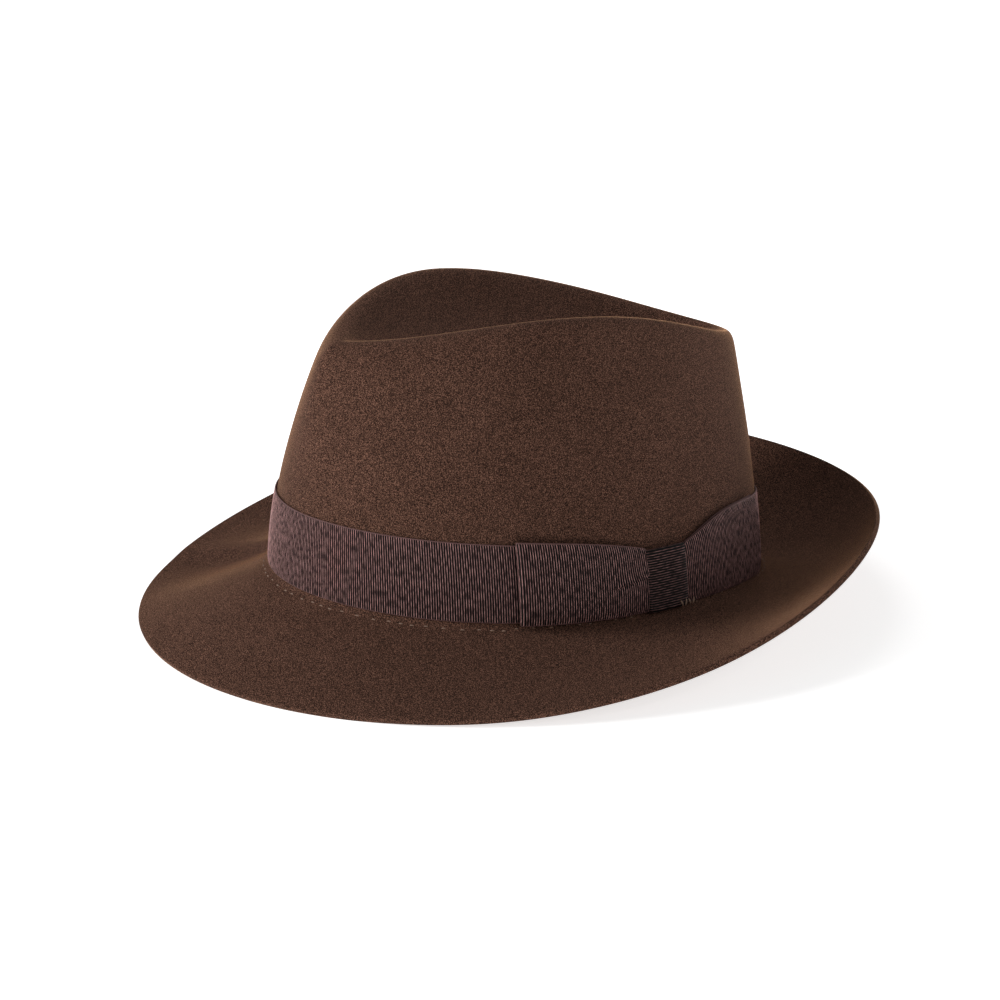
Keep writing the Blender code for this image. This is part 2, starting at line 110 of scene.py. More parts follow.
# Bow. Its knot squeezes the ribbon to each side with a spread, in degrees, and a power, and gathers it
# up to a little past its own edge.
BOW_ANGLE = 94.7
BOW_PINCH = 10.1 * MM
PINCH_FRONT = (15.0, 1.2)
PINCH_REAR = (13.5, 2.0)
BOW_RISE = 1.2 * MM
BOW_GATHER = 1.6 * MM
BOW_GATHER_FADES = (-2.0 * MM, 1.5 * MM)
BOW_BOTTOM = 0.9 * MM
LOOP_START = 7.0 * MM
FRONT_LOOP_LENGTH = 61.5 * MM
REAR_LOOP_LENGTH = 64.5 * MM
LOOP_BACK_OFFSET = 1.75 * MM
LOOP_GAP_AT_KNOT = 1.4 * MM
LOOP_GAP_AT_FOLD = 2.5 * MM
LOOP_PUFF = 0.3
LOOP_EDGE_PINCH = 0.5
LOOP_EDGE_POWER = 6
LOOP_ROWS = 60
FOLD_POINTS = 13
LAYER_POINTS = 25

# Knot. In millimetres, its outline runs over the loops by drops below its top and then down and under
# them by heights, each with an offset.
KNOT_HALF_WIDTH = 9.7 * MM
KNOT_SHIFT = -1.0 * MM
KNOT_TOP = 24.3 * MM
KNOT_OVER = ((1.5, 1.8), (0.2, 2.0), (0.0, 3.0), (0.2, 3.9), (1.5, 4.35))
KNOT_UNDER = ((3.0, 4.35), (1.1, 4.1), (0.7, 3.4), (0.7, 2.2))
KNOT_ROWS = 24
KNOT_CREASE = 0.3 * MM
KNOT_CREASE_WIDTH = 0.5 * MM
KNOT_CREASE_HEIGHTS = (10.0 * MM, 16.0 * MM)
KNOT_EDGE_PINCH = 0.7 * MM
KNOT_EDGE_POWER = 8
KNOT_EDGE_OFFSETS = (2.0 * MM, 4.0 * MM)

# Pleat in the front loop. It rises and dies away over two stretches from the knot's edge, and bends
# only what lies in front of the loop's back layer, which it leaves between two offsets.
PLEAT_DEPTH = 2.3 * MM
PLEAT_HEIGHT = 15.2 * MM
PLEAT_FALL = 0.16
PLEAT_STARTS = (-0.5 * MM, 2.5 * MM)
PLEAT_ENDS = (6.65 * MM, 19.0 * MM)
PLEAT_OFFSETS = (0.5 * MM, 0.7 * MM)
PLEAT_LIP = 2.5 * MM
PLEAT_HOLLOW = 0.9 * MM
PLEAT_HOLLOW_SHARE = 0.5

# Stitches. A thread narrows to a share of its section at its ends. The seam runs closer to the crown
# under the bow, up to two angles from its middle. A tack's outline is heights and offsets in millimetres.
THREAD_SIDES = 8
THREAD_BLUNTNESS = 4
THREAD_END = 0.08
STITCH_RADIUS = 0.28 * MM
STITCH_POINTS = 7
STITCH_PITCH = 5.6 * MM
STITCH_WANDER = 0.25
STITCH_WANDER_BEAT = 7.3
STITCH_SWAY = 0.25 * MM
STITCH_SWAY_BEAT = 2.1
OUTER_STITCH = 1.8 * MM
OUTER_STITCH_LIFT = 0.22 * MM
OUTER_STITCH_ARCH = 0.5 * MM
INNER_STITCH = 5.04 * MM
INNER_STITCH_LIFT = 0.12 * MM
INNER_STITCH_ARCH = 0.3 * MM
SEAM_DISTANCE = 2.6 * MM
SEAM_UNDER_BOW = 0.55
SEAM_BOW_ANGLES = (34.0, 38.0)
TACK_ANGLES = (97.1, 98.2, 99.3, 100.4)
TACK_OUTLINE = ((3.3, 4.5), (2.7, 4.8), (2.1, 5.0), (1.5, 5.0), (0.8, 4.8))
TACK_LEAN = 0.25
TACK_RADIUS = 0.34 * MM

# Sweatband. Offsets inside are measured inwards from the felt's inner face.
LEATHER = 0.8 * MM
LEATHER_OFFSET = 3.0 * MM
LEATHER_TOP = 39.0 * MM
LEATHER_SEAM_HEIGHT = 3.0 * MM
LEATHER_LINE_HEIGHT = 35.5 * MM
LEATHER_LINE_WIDTH = 0.45 * MM
LEATHER_LINE_DEPTH = 0.15 * MM
LEATHER_LEAN = 0.4 * MM
LEATHER_LEAN_FROM = 11.7 * MM
LEATHER_RIPPLES = (19.0 * MM, 31.0 * MM)
JOINT_ANGLE = 180.0
JOINT_HALF_GAP = 0.45 * MM
INSIDE_STEP = 3.0 * MM

# Reed and its tape, which is folded round it with a taller side towards the felt.
REED = 0.7 * MM
REED_OFFSET = 1.3 * MM
REED_HEIGHTS = (0.9 * MM, 3.9 * MM)
TAPE = 0.3 * MM
TAPE_OFFSETS = (0.5 * MM, 2.1 * MM)
TAPE_TOPS = (7.0 * MM, 5.0 * MM)
TAPE_FOLD_HEIGHT = 0.4 * MM
TAPE_FOLD_POINTS = 9
TAPE_STEP = 0.5 * MM

# Joint tab and blank tag.
TAB = 0.4 * MM
TAB_HALF_WIDTH = 7.2 * MM
TAB_HEIGHTS = (8.0 * MM, 37.0 * MM)
TAB_OFFSET = 1.8 * MM
CARD = 0.3 * MM
TAG_ANGLE = 205.0
TAG_HALF_WIDTH = 7.3 * MM
TAG_HEIGHTS = (28.0 * MM, 48.0 * MM)
TAG_OFFSET = 1.45 * MM
LABEL_STEP = 1.0 * MM

# Small bow inside. Its knot's outline runs over the loops by shares of its half height.
SMALL_RIBBON = 0.4 * MM
SMALL_BOW_HEIGHTS = (9.0 * MM, 14.0 * MM)
SMALL_BOW_OFFSET = 3.95 * MM
SMALL_BOW_DROOP = 1.5 * MM
SMALL_BOW_PINCH = 0.5
SMALL_PINCH_REACH = 5.0 * MM
SMALL_BOW_STEP = 0.4 * MM
SMALL_LOOP_START = 1.2 * MM
SMALL_LOOP_LENGTH = 14.0 * MM
SMALL_LOOP_GAP = 1.6 * MM
SMALL_KNOT_HALF_WIDTH = 2.4 * MM
SMALL_KNOT_HALF_HEIGHT = 2.3 * MM
SMALL_KNOT_SHARES = (0.6, 1.0, 1.0, 0.924, -1.0)
SMALL_KNOT_ROUNDING = 0.2 * MM

# Lining. Its side is gathered in folds that are deepest at the top and drift a little round the crown.
LINING = 0.4 * MM
LINING_OFFSET = 0.7 * MM
LINING_BOTTOM = 12.0 * MM
LINING_TOP_SHARE = 0.8
LINING_SIDE_WIDTH = 76.0 * MM
LINING_STEP = 1.2 * MM
LINING_FOLD = 0.35 * MM
LINING_FOLD_AT_BOTTOM = 0.4
LINING_FOLDS = 60
LINING_FOLD_DRIFT = 2.0
LINING_FOLD_DRIFT_LENGTH = 40.0 * MM
TIP_DROP = 4.6 * MM
TIP_ROWS = 24
TIP_COLUMNS = 192
PIPING_RADIUS = 0.8 * MM
PIPING_OFFSET = 1.4 * MM
PIPING_STEPS = 480
CORD_SIDES = 12
CORD_TWISTS = 150
CORD_GROOVE = 0.18
SHIELD = 0.25 * MM
SHIELD_DROP = 1.0 * MM
SHIELD_RIM_SHARE = 0.2

# Colours as seen on a screen, apart from white, which is linear.
WHITE = (1.0, 1.0, 1.0, 1.0)
FELT_COLOUR = (76, 53, 43)
RIBBON_COLOUR = (74, 54, 52)
THREAD_COLOUR = (150, 122, 104)
LEATHER_COLOUR = (92, 62, 44)
TAPE_COLOUR = (60, 44, 38)
SATIN_COLOUR = (96, 74, 56)
SMALL_RIBBON_COLOUR = (70, 50, 44)
CARD_COLOUR = (225, 218, 202)
FILM_COLOUR = (150, 148, 142)
FILM_OPACITY = 0.14
# The knot's ribbon is the ribbon's colour times this: painted shade, as its crosswise ribs catch less
# light.
KNOT_PAINTED_SHADE = 0.5

# Shades of a colour: a place on the pattern and how much of the colour there is at it.
FELT_SHADES = ((0.36, 0.1), (0.5, 0.7), (0.64, 4.0))
# Rib colour: painted shade in the valleys and a painted highlight on the rib tops, over the modelled ribs.
RIB_PAINTED_LIGHT_AND_SHADE = ((0.5, 0.01), (0.8, 0.8), (1.0, 10.0))
THREAD_SHADES = ((0.3, 0.6), (0.7, 1.2))
LEATHER_SHADES = ((0.3, 0.75), (0.7, 1.15))
SATIN_SHADES = ((0.3, 0.8), (0.7, 1.15))
TAPE_SHADES = ((0.3, 0.7), (0.7, 1.2))
CARD_SHADES = ((0.3, 0.9), (0.7, 1.0))
FLOOR_SHADES = ((0.3, 0.88), (0.7, 0.9))
# The selvedges are lighter by this: a painted highlight on their rounded edges.
SELVEDGE_PAINTED_HIGHLIGHT = 2.2

# Fine fibres: the scale and detail of their pattern, the strength and depth of its relief, the roughness.
THREAD_FIBRES = (2400.0, 2.0, 0.5, 0.1 * MM, 0.7)
TAPE_FIBRES = (1800.0, 2.0, 0.5, 0.1 * MM, 0.85)
CARD_FIBRES = (900.0, 4.0, 0.2, 0.05 * MM, 0.85)

# Tones that a colour is multiplied by, over a slower pattern.
FELT_TONES = ((0.3, (0.88, 0.87, 0.86)), (0.7, (1.0, 1.0, 1.0)))
RIB_TONES = ((0.38, (0.22, 0.2, 0.2)), (0.6, (1.0, 1.0, 1.0)))

# Numbers of the sockets of a mix node that is set to colours.
MIX_SHARE = 0
MIX_FIRST = 6
MIX_SECOND = 7
MIX_RESULT = 2

# Floor. It glows, and a little less near the hat as a painted shadow, between two distances from the
# origin.
FLOOR_SIZE = 12.0
FLOOR_GLOWS_WITH_PAINTED_SHADOW = (0.68, 0.88)
FLOOR_PAINTED_SHADOW_REACHES = (0.17, 0.4)

# Camera.
CAMERA_AZIMUTH = 54.0
CAMERA_ELEVATION = 17.62
CAMERA_DISTANCE = 1262.0 * MM
CAMERA_TARGET = Vector((0.0, CROWN_CENTRE, 50.0 * MM))
CAMERA_LENS = 112.7
CAMERA_SENSOR = 36.0
CAMERA_SHIFT = (-0.01795, -0.0251)

# Lights: how far to the camera's right, to its back and up each one lies, then its distance from the
# hat, its width and its power.
LIGHTS = {
    "key": ((-1.0, 0.22, 0.45), 1.6, 0.6, 17.8),
    "fill": ((0.7, 0.8, 0.35), 1.8, 0.8, 5.0),
    "rim": ((1.0, -0.5, 0.35), 1.5, 0.7, 4.2),
    "top": ((0.0, -0.6, 1.0), 0.6, 0.25, 0.7),
}
WORLD_STRENGTH = 0.13


def smooth_round(values, angle):
    """The value at each angle in degrees, on a smooth even curve through values from front to rear."""
    steps = np.arange(len(values))
    knots = np.linspace(0.0, math.pi, len(values))
    weights = np.linalg.solve(np.cos(np.outer(knots, steps)), values)
    return np.cos(np.multiply.outer(np.radians(angle), steps)) @ weights


def points_at(across, along, height):
    return np.stack(np.broadcast_arrays(across, along, height), axis=-1).astype(float)


def unit(vectors):
    return vectors / np.linalg.norm(vectors, axis=-1, keepdims=True)


def fade(value, start, end):
    """0 before start and 1 after end, smooth between them."""
    share = np.clip((value - start) / (end - start), 0.0, 1.0)
    return share * share * (3.0 - 2.0 * share)


def foot(angle):
    """The point where the crown's outer face meets the top of the brim."""
    turn = np.radians(angle)
    along = CROWN_CENTRE - HALF_LENGTH * np.cos(turn)
    return points_at(HALF_WIDTH * np.sin(turn), along, smooth_round(FOOT_HEIGHTS, angle))


def outward(angle):
    """The level direction that points straight out of the crown's foot."""
    turn = np.radians(angle)
    return unit(points_at(HALF_LENGTH * np.sin(turn), -HALF_WIDTH * np.cos(turn), 0.0))


def ridge(angle):
    """The corner between the crown's wall and its dent, before it is rounded."""
    side = np.sin(np.radians(angle))
    along = -np.cos(np.radians(angle))
    sharpness = np.where(along < 0.0, RIDGE_POINT_FRONT, RIDGE_POINT_REAR)
    reach = np.where(along < 0.0, RIDGE_FRONT, RIDGE_REAR)
    across = np.sign(side) * RIDGE_HALF_WIDTH * np.abs(side) ** sharpness
    return points_at(across, CROWN_CENTRE + reach * along, smooth_round(RIDGE_HEIGHTS, angle))


def floor_height(along):
    """The height of the dent's lowest line at a place from front to rear."""
    return FLOOR_HEIGHT + FLOOR_SLOPE * (along - CROWN_CENTRE)


def spine(angle):
    """The point on the dent's lowest line that a path over the ridge at this angle runs to."""
    middle = (SPINE_REAR - SPINE_FRONT) / 2.0
    reach = (SPINE_REAR + SPINE_FRONT) / 2.0
    along = CROWN_CENTRE + middle - reach * np.cos(np.radians(angle))
    return points_at(0.0, along, floor_height(along))


def wall_height(angle):
    return ridge(angle)[..., 2] - foot(angle)[..., 2]


def wall(angle, height):
    """A point on the crown's outer face at a height above its foot."""
    low = foot(angle)
    high = ridge(angle)
    share = height / (high[..., 2] - low[..., 2])
    bend = np.sign(share) * np.abs(share) ** WALL_CURVE
    spot = low + (high - low) * bend[..., None]
    spot[..., 2] = low[..., 2] + height
    return spot


def wall_normal(angle, height):
    step = 0.5
    rise = 1.0 * MM
    above = np.maximum(height, 0.0)
    around = wall(angle + step, height) - wall(angle - step, height)
    upward = wall(angle, above + rise) - wall(angle, above)
    return unit(np.cross(around, upward))


def on_wall(angle, height, offset):
    """A point off the crown's outer face: outwards when offset is positive, inwards when it is negative."""
    angle, height, offset = np.broadcast_arrays(angle, height, offset)
    return wall(angle, height) + wall_normal(angle, height) * offset[..., None]


def inside_wall(angle, height, offset):
    return on_wall(angle, height, -FELT - offset)


def dent(angle, share):
    """A point on the way from the ridge, share 0, down to the spine, share 1."""
    high = ridge(angle)
    low = spine(angle)
    spot = high + (low - high) * np.asarray(share)[..., None]
    rise = high[..., 2] - floor_height(high[..., 1])
    spot[..., 2] = floor_height(spot[..., 1]) + rise * (1.0 - share) ** 2
    return spot


def brim(angle, distance):
    """A point on the top of the brim at a distance out from the crown's foot, along the felt."""
    slope = np.radians(smooth_round(BRIM_SLOPES_AT_CROWN, angle))
    edge_slope = np.radians(smooth_round(BRIM_SLOPES_AT_EDGE, angle))
    turn = (edge_slope - slope) * distance / BRIM_WIDTH
    chord = distance * np.sinc(turn / (2.0 * math.pi))
    middle = slope + turn / 2.0
    spot = foot(angle) + outward(angle) * (chord * np.cos(middle))[..., None]
    behind = -((angle + 180.0) % 360.0 - 180.0)
    spot[..., 2] += chord * np.sin(middle) + step_at_break(behind, distance) - trough(behind, distance)
    return spot


def step_at_break(behind, distance):
    """How far the brim lies above an even sweep: less in front of its break and more behind it.

    behind is how far round the right side a place lies, in degrees from the front.
    """
    past = behind + BREAK_ANGLE
    step = BREAK_HEIGHT * np.tanh(past / BREAK_TURN) * np.exp(-((past / BREAK_REACH) ** 2))
    start = fade(distance, 0.0, BREAK_START)
    return step * start * (1.0 - BREAK_END_LOSS * fade(distance, BREAK_END, BRIM_WIDTH))


def trough(behind, distance):
    """How much deeper the brim is hollowed on its right than on its left."""
    first, second, third, last = TROUGH_ANGLES
    reach = fade(behind, -first, -second) * (1.0 - fade(behind, -third, -last))
    return TROUGH_DEPTH * reach * np.sin(math.pi * distance / BRIM_WIDTH)


def brim_normal(angle, distance):
    step = 0.5
    onward = 1.0 * MM
    around = brim(angle + step, distance) - brim(angle - step, distance)
    along = brim(angle, distance + onward) - brim(angle, distance)
    return unit(np.cross(along, around))


def rounded_corner(start, corner, end, count):
    """Rows of points on a curve from start to end that is pulled towards the corner between them."""
    rows = []
    for share in np.linspace(0.0, 1.0, count):
        first = start + (corner - start) * share
        second = corner + (end - corner) * share
        rows.append(first + (second - first) * share)
    return rows


def felt_rows(angle):
    """Rows of points on the felt's outer face, from the brim's edge up the wall and over to the spine."""
    rim = BRIM_WIDTH - CUT_EDGE_ROUNDING
    rounding = smooth_round(RIDGE_ROUNDING, angle)
    top = wall_height(angle) - rounding
    turn_in = rounding / np.linalg.norm(ridge(angle) - spine(angle), axis=-1)
    rows = [brim(angle, distance) for distance in np.linspace(rim, FOOT_ROUNDING, BRIM_ROWS)[:-1]]
    rows += rounded_corner(brim(angle, FOOT_ROUNDING), foot(angle), wall(angle, FOOT_ROUNDING), FOOT_ROWS)
    rows += [wall(angle, height) for height in np.linspace(FOOT_ROUNDING, top, WALL_ROWS)[1:-1]]
    rows += rounded_corner(wall(angle, top), ridge(angle), dent(angle, turn_in), RIDGE_ROWS)
    rows += [dent(angle, share) for share in np.linspace(turn_in, 1.0, DENT_ROWS)[1:]]
    return np.array(rows)


def grid_normals(rows):
    """Outward normals of a surface given as rows of points, each row closed on itself."""
    around = np.roll(rows, -1, axis=1) - np.roll(rows, 1, axis=1)
    onward = np.gradient(rows, axis=0)
    return unit(np.cross(around, onward))


def grid_faces(rows, columns, wrap=False):
    """Quads between the points of a grid, numbered row by row. Each row is closed on itself.

    wrap also closes the last row on the first.
    """
    row = np.arange(rows if wrap else rows - 1)[:, None]
    column = np.arange(columns)[None, :]
    next_row = (row + 1) % rows * columns
    next_column = (column + 1) % columns
    row = row * columns
    corners = (row + column, row + next_column, next_row + next_column, next_row + column)
    return np.stack(np.broadcast_arrays(*corners), axis=-1).reshape(-1, 4)


def tube_faces(rings, sides):
    """Faces of a closed tube: round its sides and over its two ends."""
    last = (rings - 1) * sides
    return [*grid_faces(rings, sides).tolist(), list(range(sides)), list(range(last, last + sides))]


def make_piece(name, points, faces, material, node, lengths=None):
    """A closed mesh that stands for a CAD node.

    lengths gives each point's place along its strip and off the strip's middle, for ribbed material.
    """
    mesh = bpy.data.meshes.new(name)
    mesh.from_pydata(points.reshape(-1, 3).tolist(), [], [list(face) for face in faces])
    if lengths is not None:
        corners = np.empty(len(mesh.loops), dtype=np.int32)
        mesh.loops.foreach_get("vertex_index", corners)
        layer = mesh.uv_layers.new(name="lengths")
        layer.uv.foreach_set("vector", lengths.reshape(-1, 2)[corners].astype(np.float32).ravel())
    shape = bmesh.new()
    shape.from_mesh(mesh)
    unused = [vertex for vertex in shape.verts if not vertex.link_faces]
    bmesh.ops.delete(shape, geom=unused, context="VERTS")
    bmesh.ops.recalc_face_normals(shape, faces=shape.faces)
    shape.to_mesh(mesh)
    shape.free()
    mesh.shade_smooth()
    mesh.materials.append(material)
    piece = bpy.data.objects.new(name, mesh)
    bpy.context.scene.collection.objects.link(piece)
    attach(piece, "root")
    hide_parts(node)
    return piece


def waviness(points, size):
    """Smooth random numbers from -1 to 1, one for each point."""
    flat = points.reshape(-1, 3)
    values = [noise.noise(Vector(point) / size) for point in flat]
    return np.array(values).reshape(points.shape[:-1])


def zip_faces(faces, first, columns):
    """Welds the two halves of a row, which lie on one line, to each other."""
    place = faces - first
    doubled = (place > columns // 2) & (place < columns)
    return np.where(doubled, first + columns - place, faces)


def make_shell(name, inner, rim, outer, material, node):
    """A closed shell from rows of points: inside, round its rim and outside. Both faces end on a line."""
    rows = np.concatenate([inner[::-1], rim, outer])
    count = rows.shape[1]
    faces = grid_faces(len(rows), count)
    faces = zip_faces(faces, 0, count)
    faces = zip_faces(faces, (len(rows) - 1) * count, count)
    return make_piece(name, rows, faces, material, node)


def felt_surface(angle):
    """The felt's outer face and its normals, smoothed and a little wavy. The last row lies on the spine."""
    outer = felt_rows(angle)
    for _ in range(FELT_SMOOTHING):
        outer[1:-1] = (outer[:-2] + 2.0 * outer[1:-1] + outer[2:]) / 4.0
    normals = grid_normals(outer)
    normals[-1] = unit(np.array([0.0, -FLOOR_SLOPE, 1.0]))
    from_foot = np.linalg.norm(outer - foot(angle), axis=-1)
    wave = FELT_WAVE * waviness(outer, FELT_WAVE_SIZE) * fade(from_foot, *FELT_WAVE_FADES)
    outer = outer + normals * wave[..., None]
    outer[-1, :, 0] = 0.0
    outer[-1, FELT_COLUMNS // 2 + 1 :] = outer[-1, FELT_COLUMNS // 2 - 1 : 0 : -1]
    return outer, normals


def make_felt_body(material):
    """Crown and brim in one piece of felt, with a raw cut edge, pressed flat where it stands."""
    outer, normals = felt_surface(np.linspace(0.0, 360.0, FELT_COLUMNS, endpoint=False))
    inner = outer - normals * FELT
    out = unit(outer[0] - outer[1])
    turns = np.linspace(0.0, math.pi / 2.0, CUT_EDGE_STEPS + 1)[1:, None, None]
    reach = out * CUT_EDGE_ROUNDING * np.sin(turns)
    drop = normals[0] * CUT_EDGE_ROUNDING * (1.0 - np.cos(turns))
    rim = np.concatenate([inner[0] + reach + drop, (outer[0] + reach - drop)[::-1]])
    for surface in (inner, rim, outer):
        surface[..., 2] = np.maximum(surface[..., 2], 0.0)
    make_shell("felt_shape", inner, rim, outer, material, "felt_body")


def cross_section(width, thickness, rows, bead=0.0):
    """A strip's outline, once round: distances across it, out from its middle, and how far ribs show."""
    edge = EDGE_ROUNDING * thickness
    margin = min(SELVEDGE, EDGE_MARGIN * width)
    middle = np.linspace(2.0 * margin, width - 2.0 * margin, rows)
    face = np.concatenate([[edge, margin], middle, [width - margin, width - edge]])
    out = np.full(len(face), thickness / 2.0)
    out[[0, -1]] *= EDGE_THICKNESS
    out[[1, -2]] += bead
    ribbed = np.ones(len(face))
    ribbed[[0, 1, -2, -1]] = EDGE_RIBS
    across = np.concatenate([[0.0], face, [width], face[::-1]])
    outs = np.concatenate([[0.0], out, [0.0], -out])
    ribs = np.concatenate([[0.0], ribbed, [0.0], -ribbed])
    return across, outs, ribs


def even_steps(along, offset, step):
    """The same path in even steps, with its sideways normals and the length up to each step."""
    lengths = np.concatenate([[0.0], np.cumsum(np.hypot(np.diff(along), np.diff(offset)))])
    count = max(int(round(lengths[-1] / step)), 2)
    places = np.linspace(0.0, lengths[-1], count + 1)
    along = np.interp(places, lengths, along)
    offset = np.interp(places, lengths, offset)
    normals = unit(np.stack([-np.gradient(offset), np.gradient(along)], axis=-1))
    return along, offset, normals, places


def make_strip(name, place, path, section, material, node, slot, step, rib_depth=0.0, wrap=False):
    """Sweeps a flat outline along a path: place(along, across, offset) gives each point on the hat."""
    along, offset, normals, places = even_steps(*path, step)
    across, outs, ribs = section
    if wrap:
        along, offset, normals, places = along[:-1], offset[:-1], normals[:-1], places[:-1]
    wave = np.cos(2.0 * math.pi * places / RIB_PITCH)[:, None] * ribs * rib_depth
    off = outs + wave
    spots = place(
        along[:, None] + normals[:, :1] * off,
        np.broadcast_to(across, off.shape),
        offset[:, None] + normals[:, 1:] * off,
    )
    steps, count = off.shape
    faces = grid_faces(steps, count, wrap) if wrap else tube_faces(steps, count)
    lengths = np.stack(np.broadcast_arrays(places[:, None], across - across.max() / 2.0), axis=-1)
    return make_piece(name, spots, faces, material, node, lengths)


def make_ribbon(name, place, path, width, rows, material, node, bead=RIBBON_BEAD):
    """A strip of grosgrain with its ribs modelled. bead is how much thicker its selvedges are."""
    section = cross_section(width, RIBBON, rows, bead)
    step = RIB_PITCH / RIB_SAMPLES
    return make_strip(name, place, path, section, material, node, "grosgrain", step, RIB_DEPTH)


def round_length(height, centre):
    """Angles and the lengths round the wall that they lie at, from the centre angle at a height."""
    reach = 400.0
    step = 0.25
    angles = np.linspace(centre - reach, centre + reach, round(2.0 * reach / step) + 1)
    spots = wall(angles, np.full(angles.shape, height))
    lengths = np.concatenate([[0.0], np.cumsum(np.linalg.norm(np.diff(spots, axis=0), axis=1))])
    return angles, lengths - np.interp(centre, angles, lengths)


def angle_at(length, lengths):
    """The angle that a length round the wall reaches, from what round_length gives."""
    return np.interp(length, lengths[1], lengths[0])


def length_at(angle, lengths):
    """The length round the wall at which an angle lies."""
    return np.interp(angle, *lengths)


def ribbon_top(angle):
    """The height of the band's upper edge, which the knot of the bow squeezes down."""
    away = (angle - BOW_ANGLE + 180.0) % 360.0 - 180.0
    spread = np.where(away < 0.0, PINCH_FRONT[0], PINCH_REAR[0])
    power = np.where(away < 0.0, PINCH_FRONT[1], PINCH_REAR[1])
    return BAND_TOP - BOW_PINCH * np.exp(-((np.abs(away) / spread) ** power))


def make_hat_band(material, lengths):
    """One length of ribbon round the foot of the crown. Its ends meet behind the knot of the bow."""

    def place(along, across, offset):
        angle = angle_at(along, lengths)
        height = BAND_BOTTOM + (ribbon_top(angle) - BAND_BOTTOM) * across / RIBBON_WIDTH
        return on_wall(angle, height, offset)

    start = length_at(BAND_JOINT_ANGLE + BAND_JOINT_HALF_GAP, lengths)
    end = length_at(BAND_JOINT_ANGLE + 360.0 - BAND_JOINT_HALF_GAP, lengths)
    path = ([start, end], [BAND_OFFSET, BAND_OFFSET])
    band = make_ribbon("band_ribbon", place, path, RIBBON_WIDTH, BAND_ROWS, material, "hat_band")


def loop_path(inner, outer, back, gap_at_knot, gap_at_fold):
    """A flat loop: out along its back layer, round the fold and back in front of it."""
    radius = gap_at_fold / 2.0
    turn = np.linspace(0.0, math.pi, FOLD_POINTS)
    front = np.linspace(outer, inner, LAYER_POINTS)
    opened = fade(front, inner, inner + LOOP_PUFF * (outer - inner))
    opening = gap_at_knot + (gap_at_fold - gap_at_knot) * opened
    along = np.concatenate([[inner], outer + radius * np.sin(turn), front[1:]])
    offset = np.concatenate([[back], back + radius * (1.0 - np.cos(turn)), back + opening[1:]])
    return along, offset


def pleat(distance, height, depth):
    """How far a loop's front layer stands out or in at the pleat that the knot gathers."""
    from_knot = distance - KNOT_HALF_WIDTH
    near = fade(from_knot, *PLEAT_STARTS) * (1.0 - fade(from_knot, *PLEAT_ENDS))
    over = height - PLEAT_HEIGHT + PLEAT_FALL * from_knot
    lip = np.exp(-np.maximum(over, 0.0) / PLEAT_LIP) * (over > 0.0)
    hollow = np.exp(np.minimum(over, 0.0) / PLEAT_HOLLOW) * (over <= 0.0)
    return depth * near * (lip - PLEAT_HOLLOW_SHARE * hollow)


def make_bow_loops(material, lengths):
    """The bow's two flat loops, gathered under the knot, the front one in a pleat."""
    for name, side, length, depth in (
        ("front", -1.0, FRONT_LOOP_LENGTH, PLEAT_DEPTH),
        ("rear", 1.0, REAR_LOOP_LENGTH, 0.0),
    ):

        def place(along, across, offset):
            angle = angle_at(side * along, lengths)
            from_middle = np.abs(2.0 * across / RIBBON_WIDTH - 1.0)
            flatten = 1.0 - LOOP_EDGE_PINCH * from_middle**LOOP_EDGE_POWER
            off_back = offset - LOOP_BACK_OFFSET
            offset = LOOP_BACK_OFFSET + off_back * np.where(off_back > 0.0, flatten, 1.0)
            in_front = fade(offset - LOOP_BACK_OFFSET, *PLEAT_OFFSETS)
            gathered = 1.0 - fade(along - KNOT_HALF_WIDTH, *BOW_GATHER_FADES)
            top = ribbon_top(angle) + BOW_RISE - BOW_GATHER * gathered
            height = BOW_BOTTOM + (top - BOW_BOTTOM) * across / RIBBON_WIDTH
            return on_wall(angle, height, offset + in_front * pleat(along, height, depth))

        path = loop_path(LOOP_START, length, LOOP_BACK_OFFSET, LOOP_GAP_AT_KNOT, LOOP_GAP_AT_FOLD)
        node = f"bow_{name}_loop"
        loop = make_ribbon(f"bow_loop_{name}", place, path, RIBBON_WIDTH, LOOP_ROWS, material, node)


def make_bow_knot(material, lengths):
    """The knot: ribbon that comes over the top of the loops, down in front and under them."""

    def place(height, across, offset):
        sideways = across - KNOT_HALF_WIDTH
        angle = angle_at(sideways + KNOT_SHIFT, lengths)
        crease = np.exp(-((sideways / KNOT_CREASE_WIDTH) ** 2)) * fade(height, *KNOT_CREASE_HEIGHTS)
        edge = np.abs(sideways / KNOT_HALF_WIDTH) ** KNOT_EDGE_POWER * fade(offset, *KNOT_EDGE_OFFSETS)
        return on_wall(angle, height, offset - KNOT_CREASE * crease - KNOT_EDGE_PINCH * edge)

    over = np.array([(KNOT_TOP - drop * MM, offset * MM) for drop, offset in KNOT_OVER])
    path = np.concatenate([over, np.array(KNOT_UNDER) * MM]).T
    width = 2.0 * KNOT_HALF_WIDTH
    make_ribbon("bow_centre", place, path, width, KNOT_ROWS, material, "bow_knot", bead=0.0)


def thread_tube(path, radius):
    """Rings of points round a short thread, tapered at both ends."""
    path = np.asarray(path)
    along = unit(np.gradient(path, axis=0))
    nearly_up = (0.02, 0.03, 1.0)
    across = unit(np.cross(along, nearly_up))
    lift = np.cross(across, along)
    from_middle = np.linspace(-1.0, 1.0, len(path))
    taper = np.sqrt(np.maximum(1.0 - from_middle**THREAD_BLUNTNESS, THREAD_END))
    turn = np.linspace(0.0, 2.0 * math.pi, THREAD_SIDES, endpoint=False)[None, :, None]
    rings = across[:, None] * np.cos(turn) + lift[:, None] * np.sin(turn)
    return path[:, None] + rings * radius * taper[:, None, None]


def make_stitches(name, paths, radius, material, node):
    """Separate stitches of one thread, in one piece."""
    tubes = []
    faces = []
    first = 0
    for path in paths:
        tube = thread_tube(path, radius)
        faces += [[corner + first for corner in face] for face in tube_faces(len(path), THREAD_SIDES)]
        first += len(path) * THREAD_SIDES
        tubes.append(tube.reshape(-1, 3))
    make_piece(name, np.concatenate(tubes), faces, material, node)


